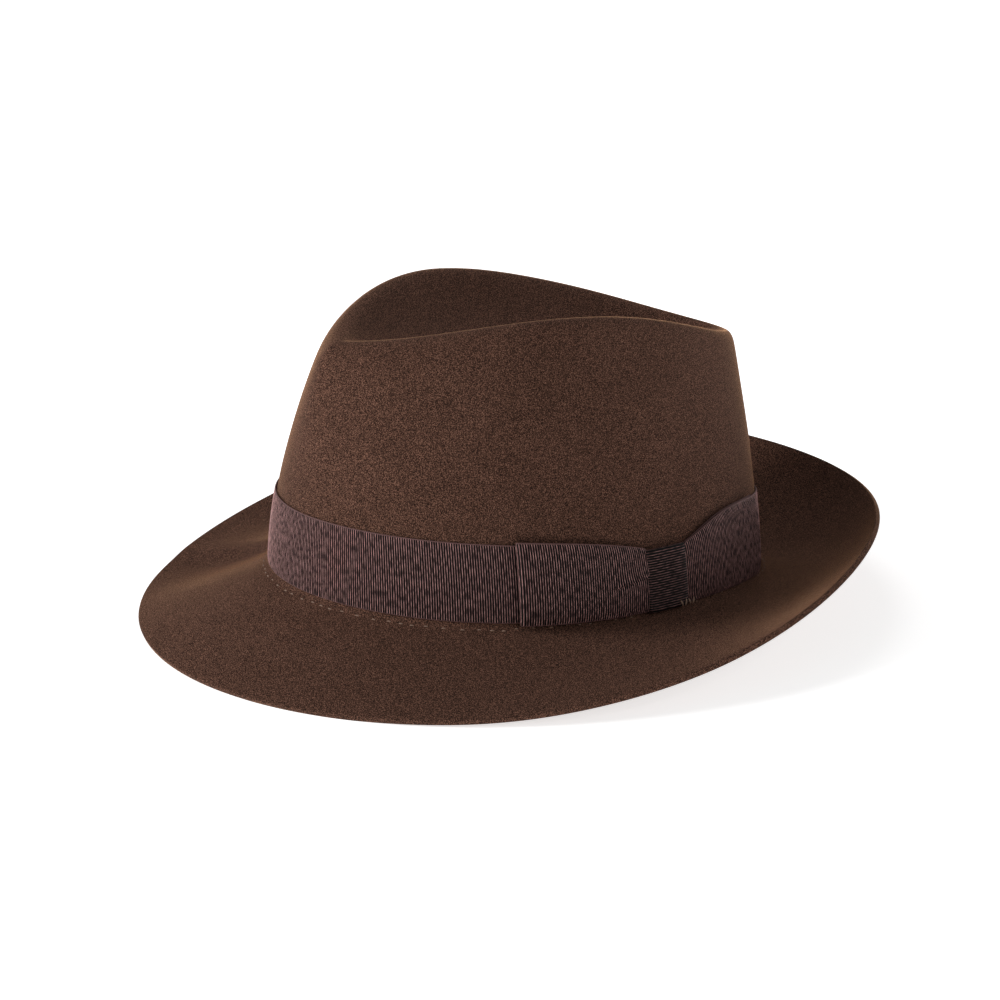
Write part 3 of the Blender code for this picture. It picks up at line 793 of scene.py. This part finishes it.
def make_seams(material):
    """The sweatband's seam: short stitches on top of the brim by the band and longer ones inside."""
    lengths = round_length(0.0, 0.0)
    total = length_at(360.0, lengths)
    count = int(total / STITCH_PITCH)
    share = np.linspace(-1.0, 1.0, STITCH_POINTS)
    outside = []
    inside = []
    for index in range(count):
        middle = (index + STITCH_WANDER * math.sin(STITCH_WANDER_BEAT * index)) * total / count
        clear_of_bow = fade(abs(angle_at(middle, lengths) - BOW_ANGLE), *SEAM_BOW_ANGLES)
        distance = SEAM_DISTANCE * (SEAM_UNDER_BOW + (1.0 - SEAM_UNDER_BOW) * clear_of_bow)
        distance = np.full(share.shape, distance + STITCH_SWAY * math.sin(STITCH_SWAY_BEAT * index))
        spots = angle_at(middle + share * OUTER_STITCH / 2.0, lengths)
        lift = OUTER_STITCH_LIFT - OUTER_STITCH_ARCH * share**2
        outside.append(brim(spots, distance) + brim_normal(spots, distance) * lift[:, None])
        spots = angle_at(middle + share * INNER_STITCH / 2.0, lengths)
        lift = INNER_STITCH_LIFT - INNER_STITCH_ARCH * share**2
        inside.append(inside_wall(spots, LEATHER_SEAM_HEIGHT, LEATHER_OFFSET + LEATHER / 2.0 + lift))
    make_stitches("seam_stitches_outside", outside, STITCH_RADIUS, material, "seam_thread_outside")
    make_stitches("seam_stitches_inside", inside, STITCH_RADIUS, material, "seam_thread_inside")


def make_tacks(material):
    """Short stitches over the lower edge of the bow, into the felt."""
    height, offset = np.array(TACK_OUTLINE).T * MM
    for number, angle in enumerate(TACK_ANGLES, start=1):
        lean = np.linspace(TACK_LEAN, -TACK_LEAN, len(height)) * (-1.0) ** number
        path = on_wall(angle + lean, height, offset)
        make_stitches(f"tack_{number}", [path], TACK_RADIUS, material, f"bow_tack_{number}")


def make_cord(name, path, radius, material, node):
    """A closed twisted cord along a level path round the hat."""
    along = unit(np.roll(path, -1, axis=0) - np.roll(path, 1, axis=0))
    across = unit(np.cross(along, (0.0, 0.0, 1.0)))
    lift = np.cross(across, along)
    turn = np.linspace(0.0, 2.0 * math.pi, CORD_SIDES, endpoint=False)[None, :]
    twist = np.linspace(0.0, 2.0 * math.pi * CORD_TWISTS, len(path), endpoint=False)[:, None]
    spread = radius * (1.0 - CORD_GROOVE * (0.5 + 0.5 * np.cos(2.0 * turn + twist)))
    rings = path[:, None] + across[:, None] * (spread * np.cos(turn))[..., None]
    rings = rings + lift[:, None] * (spread * np.sin(turn))[..., None]
    faces = grid_faces(len(path), CORD_SIDES, wrap=True)
    make_piece(name, rings, faces, material, node)


def joint_to_joint(lengths):
    """Lengths from one side of the sweatband's joint, round the crown, to its other side."""
    return [JOINT_HALF_GAP, length_at(JOINT_ANGLE + 360.0, lengths) - JOINT_HALF_GAP]


def make_sweatband(leather, lengths):
    """Leather band inside the crown's foot, with an embossed line below its free edge."""

    def place(along, across, offset):
        first, second = LEATHER_RIPPLES
        ripple = np.sin(along / first) * np.sin(along / second)
        lean = LEATHER_LEAN * fade(across, LEATHER_LEAN_FROM, LEATHER_TOP) * (1.0 + ripple)
        line = np.exp(-(((across - LEATHER_LINE_HEIGHT) / LEATHER_LINE_WIDTH) ** 2))
        pressed = LEATHER_LINE_DEPTH * line * np.sign(offset - LEATHER_OFFSET)
        return inside_wall(angle_at(along, lengths), across, offset + lean - pressed)

    path = (joint_to_joint(lengths), [LEATHER_OFFSET, LEATHER_OFFSET])
    section = cross_section(LEATHER_TOP, LEATHER, rows=60)
    make_strip("sweatband_leather", place, path, section, leather, "sweatband", "leather", INSIDE_STEP)


def strip_inside(lengths, low):
    """How a straight strip inside the wall is placed, upwards from a low edge."""

    def place(along, across, offset):
        return inside_wall(angle_at(along, lengths), low + across, offset)

    return place


def make_reed(film, lengths):
    """A thin reed behind the lower edge of the sweatband."""
    low, high = REED_HEIGHTS
    path = (joint_to_joint(lengths), [REED_OFFSET, REED_OFFSET])
    section = cross_section(high - low, REED, rows=3)
    place = strip_inside(lengths, low)
    make_strip("reed", place, path, section, film, "sweatband_reed", "clear_plastic", INSIDE_STEP)


def make_tape(tape, lengths):
    """Tape that is folded round the reed from below."""
    start, end = joint_to_joint(lengths)

    def place(height, across, offset):
        return inside_wall(angle_at(start + across, lengths), height, offset)

    outer, inner = TAPE_OFFSETS
    outer_top, inner_top = TAPE_TOPS
    turn = np.linspace(0.0, math.pi, TAPE_FOLD_POINTS)
    fold = REED_HEIGHTS[0] - TAPE_FOLD_HEIGHT * np.sin(turn)
    middle = (outer + inner) / 2.0 - (inner - outer) / 2.0 * np.cos(turn)
    height = np.concatenate([[outer_top], fold, [inner_top]])
    offset = np.concatenate([[outer], middle, [inner]])
    section = cross_section(end - start, TAPE, rows=190)
    make_strip("folded_tape", place, (height, offset), section, tape, "reed_tape", "tape", TAPE_STEP)


def make_label(name, centre, half_width, heights, offset, thickness, material, node, slot):
    """An upright rectangle of leather or card inside the wall."""
    low, high = heights
    path = ([-half_width, half_width], [offset, offset])
    section = cross_section(high - low, thickness, rows=6)
    place = strip_inside(round_length(low, centre), low)
    make_strip(name, place, path, section, material, node, slot, LABEL_STEP)


def make_labels(leather, card):
    """The tab over the sweatband's joint and a blank card that stands up from behind the band."""
    tab = (JOINT_ANGLE, TAB_HALF_WIDTH, TAB_HEIGHTS, TAB_OFFSET, TAB)
    make_label("joint_tab", *tab, leather, "sweatband_joint_tab", "leather")
    tag = (TAG_ANGLE, TAG_HALF_WIDTH, TAG_HEIGHTS, TAG_OFFSET, CARD)
    make_label("tag", *tag, card, "size_tag", "card")


def make_small_bow(material, lengths):
    """A small bow of narrow ribbon over the joint of the sweatband."""
    low, high = SMALL_BOW_HEIGHTS
    middle = (low + high) / 2.0
    for name, side in (("left", -1.0), ("right", 1.0)):

        def place(along, across, offset):
            angle = angle_at(side * along, lengths)
            gather = 1.0 - SMALL_BOW_PINCH * np.exp(-((along / SMALL_PINCH_REACH) ** 2))
            droop = SMALL_BOW_DROOP * (along / SMALL_LOOP_LENGTH) ** 2
            height = middle - droop + (across - (high - low) / 2.0) * gather
            return inside_wall(angle, height, offset)

        gap = SMALL_LOOP_GAP
        path = loop_path(SMALL_LOOP_START, SMALL_LOOP_LENGTH, SMALL_BOW_OFFSET, gap, gap)
        section = cross_section(high - low, SMALL_RIBBON, rows=8)
        finish = (material, f"sweatband_bow_{name}_loop", "small_ribbon", SMALL_BOW_STEP)
        make_strip(f"small_bow_{name}", place, path, section, *finish)

    def place_knot(height, across, offset):
        return inside_wall(angle_at(across - SMALL_KNOT_HALF_WIDTH, lengths), height, offset)

    back = SMALL_BOW_OFFSET
    over = back + SMALL_LOOP_GAP + 2.0 * SMALL_RIBBON
    height = middle + SMALL_KNOT_HALF_HEIGHT * np.array(SMALL_KNOT_SHARES)
    offset = np.array([back, back, over - SMALL_KNOT_ROUNDING, over, over])
    section = cross_section(2.0 * SMALL_KNOT_HALF_WIDTH, SMALL_RIBBON, rows=6)
    finish = (material, "sweatband_bow_knot", "small_ribbon", SMALL_BOW_STEP)
    make_strip("small_knot", place_knot, (height, offset), section, *finish)


def tip_rows(angle, rim_share, drop):
    """Rows of points on the lining's tip, from near its rim to the middle line under the dent."""
    offset = PIPING_OFFSET + PIPING_RADIUS + CLEARANCE
    rim = inside_wall(angle, wall_height(angle) * LINING_TOP_SHARE, offset)
    low = spine(angle) - points_at(0.0, 0.0, TIP_DROP)
    rows = []
    for share in np.linspace(rim_share, 1.0, TIP_ROWS):
        row = rim + (low - rim) * share
        row[:, 2] = low[:, 2] + (rim[:, 2] - low[:, 2]) * (1.0 - share) ** 2 - drop
        rows.append(row)
    return np.array(rows)


def make_lining_side(satin):
    """The lining's side, from above the sweatband up to the piping, in soft upright folds."""
    lengths = round_length(LINING_BOTTOM, JOINT_ANGLE)
    total = length_at(JOINT_ANGLE + 360.0, lengths)

    def place(along, across, offset):
        angle = angle_at(along, lengths)
        share = across / LINING_SIDE_WIDTH
        top = wall_height(angle) * LINING_TOP_SHARE - PIPING_RADIUS - CLEARANCE
        height = LINING_BOTTOM + (top - LINING_BOTTOM) * share
        drift = LINING_FOLD_DRIFT * np.sin(along / LINING_FOLD_DRIFT_LENGTH)
        fold = 0.5 + 0.5 * np.cos(2.0 * math.pi * LINING_FOLDS * along / total + drift)
        depth = LINING_FOLD * (LINING_FOLD_AT_BOTTOM + (1.0 - LINING_FOLD_AT_BOTTOM) * share)
        return inside_wall(angle, height, offset + depth * fold)

    path = ([0.0, total], [LINING_OFFSET, LINING_OFFSET])
    section = cross_section(LINING_SIDE_WIDTH, LINING, rows=20)
    finish = (satin, "lining_side", "satin", LINING_STEP)
    side = make_strip("lining_wall", place, path, section, *finish, wrap=True)


def make_tip(name, rim_share, drop, thickness, material, node, slot):
    """A shell of satin or film under the dent, from a share of the way in from the lining's rim."""
    angle = np.linspace(0.0, 360.0, TIP_COLUMNS, endpoint=False)
    upper = tip_rows(angle, rim_share, drop)
    normals = grid_normals(upper)
    normals[-1] = unit(np.array([0.0, -FLOOR_SLOPE, 1.0]))
    lower = upper - normals * thickness
    rim = (upper[:1] + lower[:1]) / 2.0 + unit(upper[0] - upper[1]) * thickness / 2.0
    return make_shell(name, lower, rim, upper, material, node)


def declare_tip():
    ends = tip_rows(np.array([0.0, 90.0, 180.0, 270.0]), 0.0, 0.0)
    middle = np.linalg.norm(spine(180.0) - spine(0.0))


def make_lining(satin, film):
    """Satin lining in the crown: a side in soft folds, a tip under the dent, a cord and a clear shield."""
    make_lining_side(satin)
    angle = np.linspace(0.0, 360.0, PIPING_STEPS, endpoint=False)
    path = inside_wall(angle, wall_height(angle) * LINING_TOP_SHARE, PIPING_OFFSET)
    make_cord("lining_cord", path, PIPING_RADIUS, satin, "lining_piping")
    tip = make_tip("lining_top", 0.0, 0.0, LINING, satin, "lining_tip", "satin")
    finish = (SHIELD, film, "tip_shield", "clear_plastic")
    make_tip("clear_shield", SHIELD_RIM_SHARE, SHIELD_DROP, *finish)
    declare_tip()


def set_inputs(tree, node, inputs):
    """Sets a node's inputs. An input that is another node's output is linked."""
    for name, value in inputs.items():
        if isinstance(value, bpy.types.NodeSocket):
            tree.links.new(value, node.inputs[name])
        else:
            node.inputs[name].default_value = value


def add_node(tree, kind, inputs, **settings):
    """A node of a kind with its inputs and with settings such as its operation."""
    made = tree.nodes.new(kind)
    for name, value in settings.items():
        setattr(made, name, value)
    set_inputs(tree, made, inputs)
    return made


def hat_place(tree):
    """Places on the object in metres."""
    return add_node(tree, "ShaderNodeTexCoord", {}).outputs["Object"]


def scaled_place(tree, place, scale):
    return add_node(tree, "ShaderNodeMapping", {"Vector": place, "Scale": scale}).outputs["Vector"]


def add_noise(tree, place, scale, detail=3.0, roughness=0.6):
    inputs = {"Vector": place, "Scale": scale, "Detail": detail, "Roughness": roughness}
    return add_node(tree, "ShaderNodeTexNoise", inputs).outputs["Fac"]


def add_ramp(tree, value, stops):
    """A colour that runs through the stops, each a position and a colour, as the value rises."""
    ramp = add_node(tree, "ShaderNodeValToRGB", {"Fac": value})
    elements = ramp.color_ramp.elements
    while len(elements) < len(stops):
        elements.new(0.5)
    for element, (position, colour) in zip(elements, stops):
        element.position = position
        element.color = (*colour, 1.0)
    return ramp.outputs["Color"]


def add_shades(tree, value, colour, shades):
    """Darker and lighter shades of one colour as the value rises."""
    return add_ramp(tree, value, [(position, scaled(colour, amount)) for position, amount in shades])


def add_range(tree, value, **limits):
    """The value brought to another range: from_min, from_max, to_min and to_max."""
    inputs = {name.replace("_", " ").title(): limit for name, limit in limits.items()}
    return add_node(tree, "ShaderNodeMapRange", {"Value": value, **inputs}).outputs["Result"]


def add_math(tree, operation, *values):
    made = add_node(tree, "ShaderNodeMath", dict(enumerate(values)), operation=operation)
    return made.outputs["Value"]


def mix_colours(tree, first, second, share=1.0, blend="MIX"):
    inputs = {MIX_SHARE: share, MIX_FIRST: first, MIX_SECOND: second}
    made = add_node(tree, "ShaderNodeMix", inputs, data_type="RGBA", blend_type=blend)
    return made.outputs[MIX_RESULT]


def add_bump(tree, height, strength, distance):
    inputs = {"Height": height, "Strength": strength, "Distance": distance}
    return add_node(tree, "ShaderNodeBump", inputs).outputs["Normal"]


def linear(red, green, blue):
    """A screen colour, 0 to 255, as the linear colour that a material holds."""
    shares = [channel / 255.0 for channel in (red, green, blue)]
    return [share / 12.92 if share <= 0.04045 else ((share + 0.055) / 1.055) ** 2.4 for share in shares]


def scaled(colour, amount):
    return [channel * amount for channel in colour]


def make_material(name, looks, *details):
    """A material whose shader has the inputs that looks(tree, *details) gives."""
    material = bpy.data.materials.new(name)
    material.use_nodes = True
    tree = material.node_tree
    set_inputs(tree, tree.nodes["Principled BSDF"], looks(tree, *details))
    return material


def felt_looks(tree):
    """Short brushed fur: a fine speckle of lighter and darker hairs on a faintly patchy ground."""
    place = hat_place(tree)
    hairs = add_noise(tree, place, scale=2900.0, detail=2.0)
    speckle = add_shades(tree, hairs, linear(*FELT_COLOUR), FELT_SHADES)
    patches = add_ramp(tree, add_noise(tree, place, scale=45.0, detail=4.0), FELT_TONES)
    return {
        "Base Color": mix_colours(tree, speckle, patches, blend="MULTIPLY"),
        "Normal": add_bump(tree, hairs, strength=0.5, distance=0.2 * MM),
        "Roughness": 0.95,
        "Specular IOR Level": 0.1,
        "Sheen Weight": 1.0,
        "Sheen Roughness": 0.2,
        "Sheen Tint": (1.0, 0.55, 0.3, 1.0),
    }


def rib_heights(tree, along):
    """0 in the valley between two ribs and 1 on top of a rib."""
    turn = add_math(tree, "MULTIPLY", along, 2.0 * math.pi / RIB_PITCH)
    return add_math(tree, "MULTIPLY_ADD", add_math(tree, "COSINE", turn), 0.5, 0.5)


def grosgrain_looks(tree, colour):
    """Ribbed ribbon: painted highlight on the ribs and painted shade in the valleys, varying from rib to
    rib, and a painted highlight along the selvedge.
    """
    lengths = add_node(tree, "ShaderNodeUVMap", {}, uv_map="lengths").outputs["UV"]
    split = add_node(tree, "ShaderNodeSeparateXYZ", {"Vector": lengths})
    # Painted shade in the valleys between the ribs and a painted highlight on their tops.
    ribs = add_shades(tree, rib_heights(tree, split.outputs["X"]), colour, RIB_PAINTED_LIGHT_AND_SHADE)
    streaks = scaled_place(tree, lengths, (1.0 / RIB_PITCH, RIB_STREAKS, 1.0))
    tones = add_ramp(tree, add_noise(tree, streaks, scale=1.0, detail=2.0, roughness=0.5), RIB_TONES)
    woven = mix_colours(tree, ribs, tones, blend="MULTIPLY")
    off_middle = add_math(tree, "ABSOLUTE", split.outputs["Y"])
    edge = add_math(tree, "GREATER_THAN", off_middle, RIBBON_WIDTH / 2.0 - SELVEDGE)
    threads = add_noise(tree, hat_place(tree), scale=3500.0, detail=2.0)
    return {
        # The selvedges get a lighter colour: a painted highlight.
        "Base Color": mix_colours(tree, woven, (*scaled(colour, SELVEDGE_PAINTED_HIGHLIGHT), 1.0), edge),
        "Normal": add_bump(tree, threads, strength=0.3, distance=0.1 * MM),
        "Roughness": 0.6,
        "Specular IOR Level": 0.15,
    }


def fibre_looks(tree, colour, shades, fibres):
    """Thread, tape or card: shades of one colour over fine fibres, which are also the relief."""
    scale, detail, strength, relief, roughness = fibres
    pattern = add_noise(tree, hat_place(tree), scale, detail)
    return {
        "Base Color": add_shades(tree, pattern, linear(*colour), shades),
        "Normal": add_bump(tree, pattern, strength, relief),
        "Roughness": roughness,
    }


def leather_looks(tree):
    """Smooth leather with a fine pebbled grain and a slightly uneven dye."""
    place = hat_place(tree)
    grain = {"Vector": place, "Scale": 900.0}
    pebbles = add_node(tree, "ShaderNodeTexVoronoi", grain).outputs["Distance"]
    dye = add_noise(tree, place, scale=70.0, detail=5.0)
    return {
        "Base Color": add_shades(tree, dye, linear(*LEATHER_COLOUR), LEATHER_SHADES),
        "Normal": add_bump(tree, pebbles, strength=0.25, distance=0.15 * MM),
        "Roughness": add_range(tree, dye, to_min=0.42, to_max=0.6),
    }


def satin_looks(tree, colour):
    """Satin: fine crosswise threads under a soft gloss."""
    threads = add_noise(tree, scaled_place(tree, hat_place(tree), (1.0, 1.0, 8.0)), scale=700.0)
    return {
        "Base Color": add_shades(tree, threads, linear(*colour), SATIN_SHADES),
        "Normal": add_bump(tree, threads, strength=0.2, distance=0.1 * MM),
        "Roughness": 0.36,
        "Sheen Weight": 0.2,
    }


def film_looks(tree):
    """Clear flexible film with faint scuffs."""
    scuffs = add_noise(tree, hat_place(tree), scale=200.0, detail=5.0)
    return {
        "Base Color": (*linear(*FILM_COLOUR), 1.0),
        "Roughness": add_range(tree, scuffs, to_min=0.06, to_max=0.2),
        "Alpha": FILM_OPACITY,
        "Specular IOR Level": 1.0,
    }


def floor_looks(tree):
    """Pale and matt, with a glow that is fainter near the hat as a painted shadow."""
    place = hat_place(tree)
    away = add_node(tree, "ShaderNodeVectorMath", {0: place}, operation="LENGTH").outputs["Value"]
    near, far = FLOOR_PAINTED_SHADOW_REACHES
    shadowed_glow, full = FLOOR_GLOWS_WITH_PAINTED_SHADOW
    return {
        "Base Color": add_shades(tree, add_noise(tree, place, scale=3.0), WHITE[:3], FLOOR_SHADES),
        "Roughness": 1.0,
        "Specular IOR Level": 0.0,
        "Emission Color": WHITE,
        # The glow is weaker near the hat: a painted shadow.
        "Emission Strength": add_range(tree, away, from_min=near, from_max=far, to_min=shadowed_glow, to_max=full),
    }


def make_floor():
    mesh = bpy.data.meshes.new("floor")
    half = FLOOR_SIZE / 2.0
    corners = [(-half, -half, 0.0), (half, -half, 0.0), (half, half, 0.0), (-half, half, 0.0)]
    mesh.from_pydata(corners, [], [(0, 1, 2, 3)])
    mesh.materials.append(make_material("pale_floor", floor_looks))
    floor = bpy.data.objects.new("floor", mesh)
    bpy.context.scene.collection.objects.link(floor)


def camera_axes():
    """Directions to the camera's back and right."""
    azimuth = math.radians(CAMERA_AZIMUTH)
    elevation = math.radians(CAMERA_ELEVATION)
    level = math.cos(elevation)
    back = Vector((math.sin(azimuth) * level, -math.cos(azimuth) * level, math.sin(elevation)))
    right = Vector((math.cos(azimuth), math.sin(azimuth), 0.0))
    return back, right


def make_room():
    """A dim white room that the camera sees as a bright one."""
    world = bpy.data.worlds.new("white_room")
    world.use_nodes = True
    tree = world.node_tree
    room = tree.nodes["Background"]
    set_inputs(tree, room, {"Color": WHITE, "Strength": WORLD_STRENGTH})
    backdrop = add_node(tree, "ShaderNodeBackground", {"Color": WHITE})
    seen = add_node(tree, "ShaderNodeLightPath", {}).outputs["Is Camera Ray"]
    mixed = add_node(tree, "ShaderNodeMixShader", {0: seen, 1: room.outputs[0], 2: backdrop.outputs[0]})
    tree.links.new(mixed.outputs[0], tree.nodes["World Output"].inputs["Surface"])
    bpy.context.scene.world = world


def make_light(name, direction, distance, size, power):
    """A square soft light that shines on the hat from a direction."""
    data = bpy.data.lights.new(name, "AREA")
    data.size = size
    data.energy = power
    light = bpy.data.objects.new(name, data)
    light.location = CAMERA_TARGET + direction.normalized() * distance
    light.rotation_mode = "QUATERNION"
    light.rotation_quaternion = (-direction).to_track_quat("-Z", "Y")
    bpy.context.scene.collection.objects.link(light)


def make_lights():
    """A soft key light from the left, a fill by the camera and lights behind, on the right and above."""
    back, right = camera_axes()
    up = Vector((0.0, 0.0, 1.0))
    for name, ((rightwards, backwards, upwards), distance, size, power) in LIGHTS.items():
        direction = right * rightwards + back * backwards + up * upwards
        make_light(name, direction, distance, size, power)


def make_camera():
    data = bpy.data.cameras.new("camera")
    data.sensor_width = CAMERA_SENSOR
    data.lens = CAMERA_LENS
    data.shift_x, data.shift_y = CAMERA_SHIFT
    camera = bpy.data.objects.new("camera", data)
    back, _ = camera_axes()
    camera.location = CAMERA_TARGET + back * CAMERA_DISTANCE
    camera.rotation_mode = "QUATERNION"
    camera.rotation_quaternion = (-back).to_track_quat("-Z", "Y")
    bpy.context.scene.collection.objects.link(camera)
    bpy.context.scene.camera = camera
    bpy.context.scene.view_settings.view_transform = "Standard"


def write_sizes():
    """Updates the view layer."""
    bpy.context.view_layer.update()


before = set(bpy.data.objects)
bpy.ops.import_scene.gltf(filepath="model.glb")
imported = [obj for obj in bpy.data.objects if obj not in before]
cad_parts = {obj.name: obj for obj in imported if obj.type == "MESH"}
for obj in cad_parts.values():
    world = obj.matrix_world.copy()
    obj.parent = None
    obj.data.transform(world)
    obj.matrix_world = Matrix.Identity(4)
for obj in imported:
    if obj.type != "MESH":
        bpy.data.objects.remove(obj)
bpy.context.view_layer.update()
felt = make_material("brushed_felt", felt_looks)
ribbon_colour = linear(*RIBBON_COLOUR)
# The knot gets a darker copy of the ribbon's material: painted shade for its crosswise ribs.
knot_painted_shade_colour = scaled(ribbon_colour, KNOT_PAINTED_SHADE)
grosgrain = make_material("ribbed_ribbon", grosgrain_looks, ribbon_colour)
knot_grosgrain_painted_shade = make_material("ribbed_ribbon_of_knot_painted_shade", grosgrain_looks, knot_painted_shade_colour)
thread = make_material("spun_thread", fibre_looks, THREAD_COLOUR, THREAD_SHADES, THREAD_FIBRES)
leather = make_material("sweatband_leather", leather_looks)
tape = make_material("woven_tape", fibre_looks, TAPE_COLOUR, TAPE_SHADES, TAPE_FIBRES)
card = make_material("blank_card", fibre_looks, CARD_COLOUR, CARD_SHADES, CARD_FIBRES)
satin = make_material("lining_satin", satin_looks, SATIN_COLOUR)
small_satin = make_material("small_ribbon_satin", satin_looks, SMALL_RIBBON_COLOUR)
film = make_material("clear_film", film_looks)
bow_lengths = round_length(TRIM_HEIGHT, BOW_ANGLE)
joint_lengths = round_length(TRIM_HEIGHT, JOINT_ANGLE)
make_felt_body(felt)
make_hat_band(grosgrain, bow_lengths)
make_bow_loops(grosgrain, bow_lengths)
make_bow_knot(knot_grosgrain_painted_shade, bow_lengths)
make_seams(thread)
make_tacks(thread)
make_sweatband(leather, joint_lengths)
make_reed(film, joint_lengths)
make_tape(tape, joint_lengths)
make_labels(leather, card)
make_small_bow(small_satin, joint_lengths)
make_lining(satin, film)
make_floor()
make_room()
make_lights()
make_camera()
write_sizes()
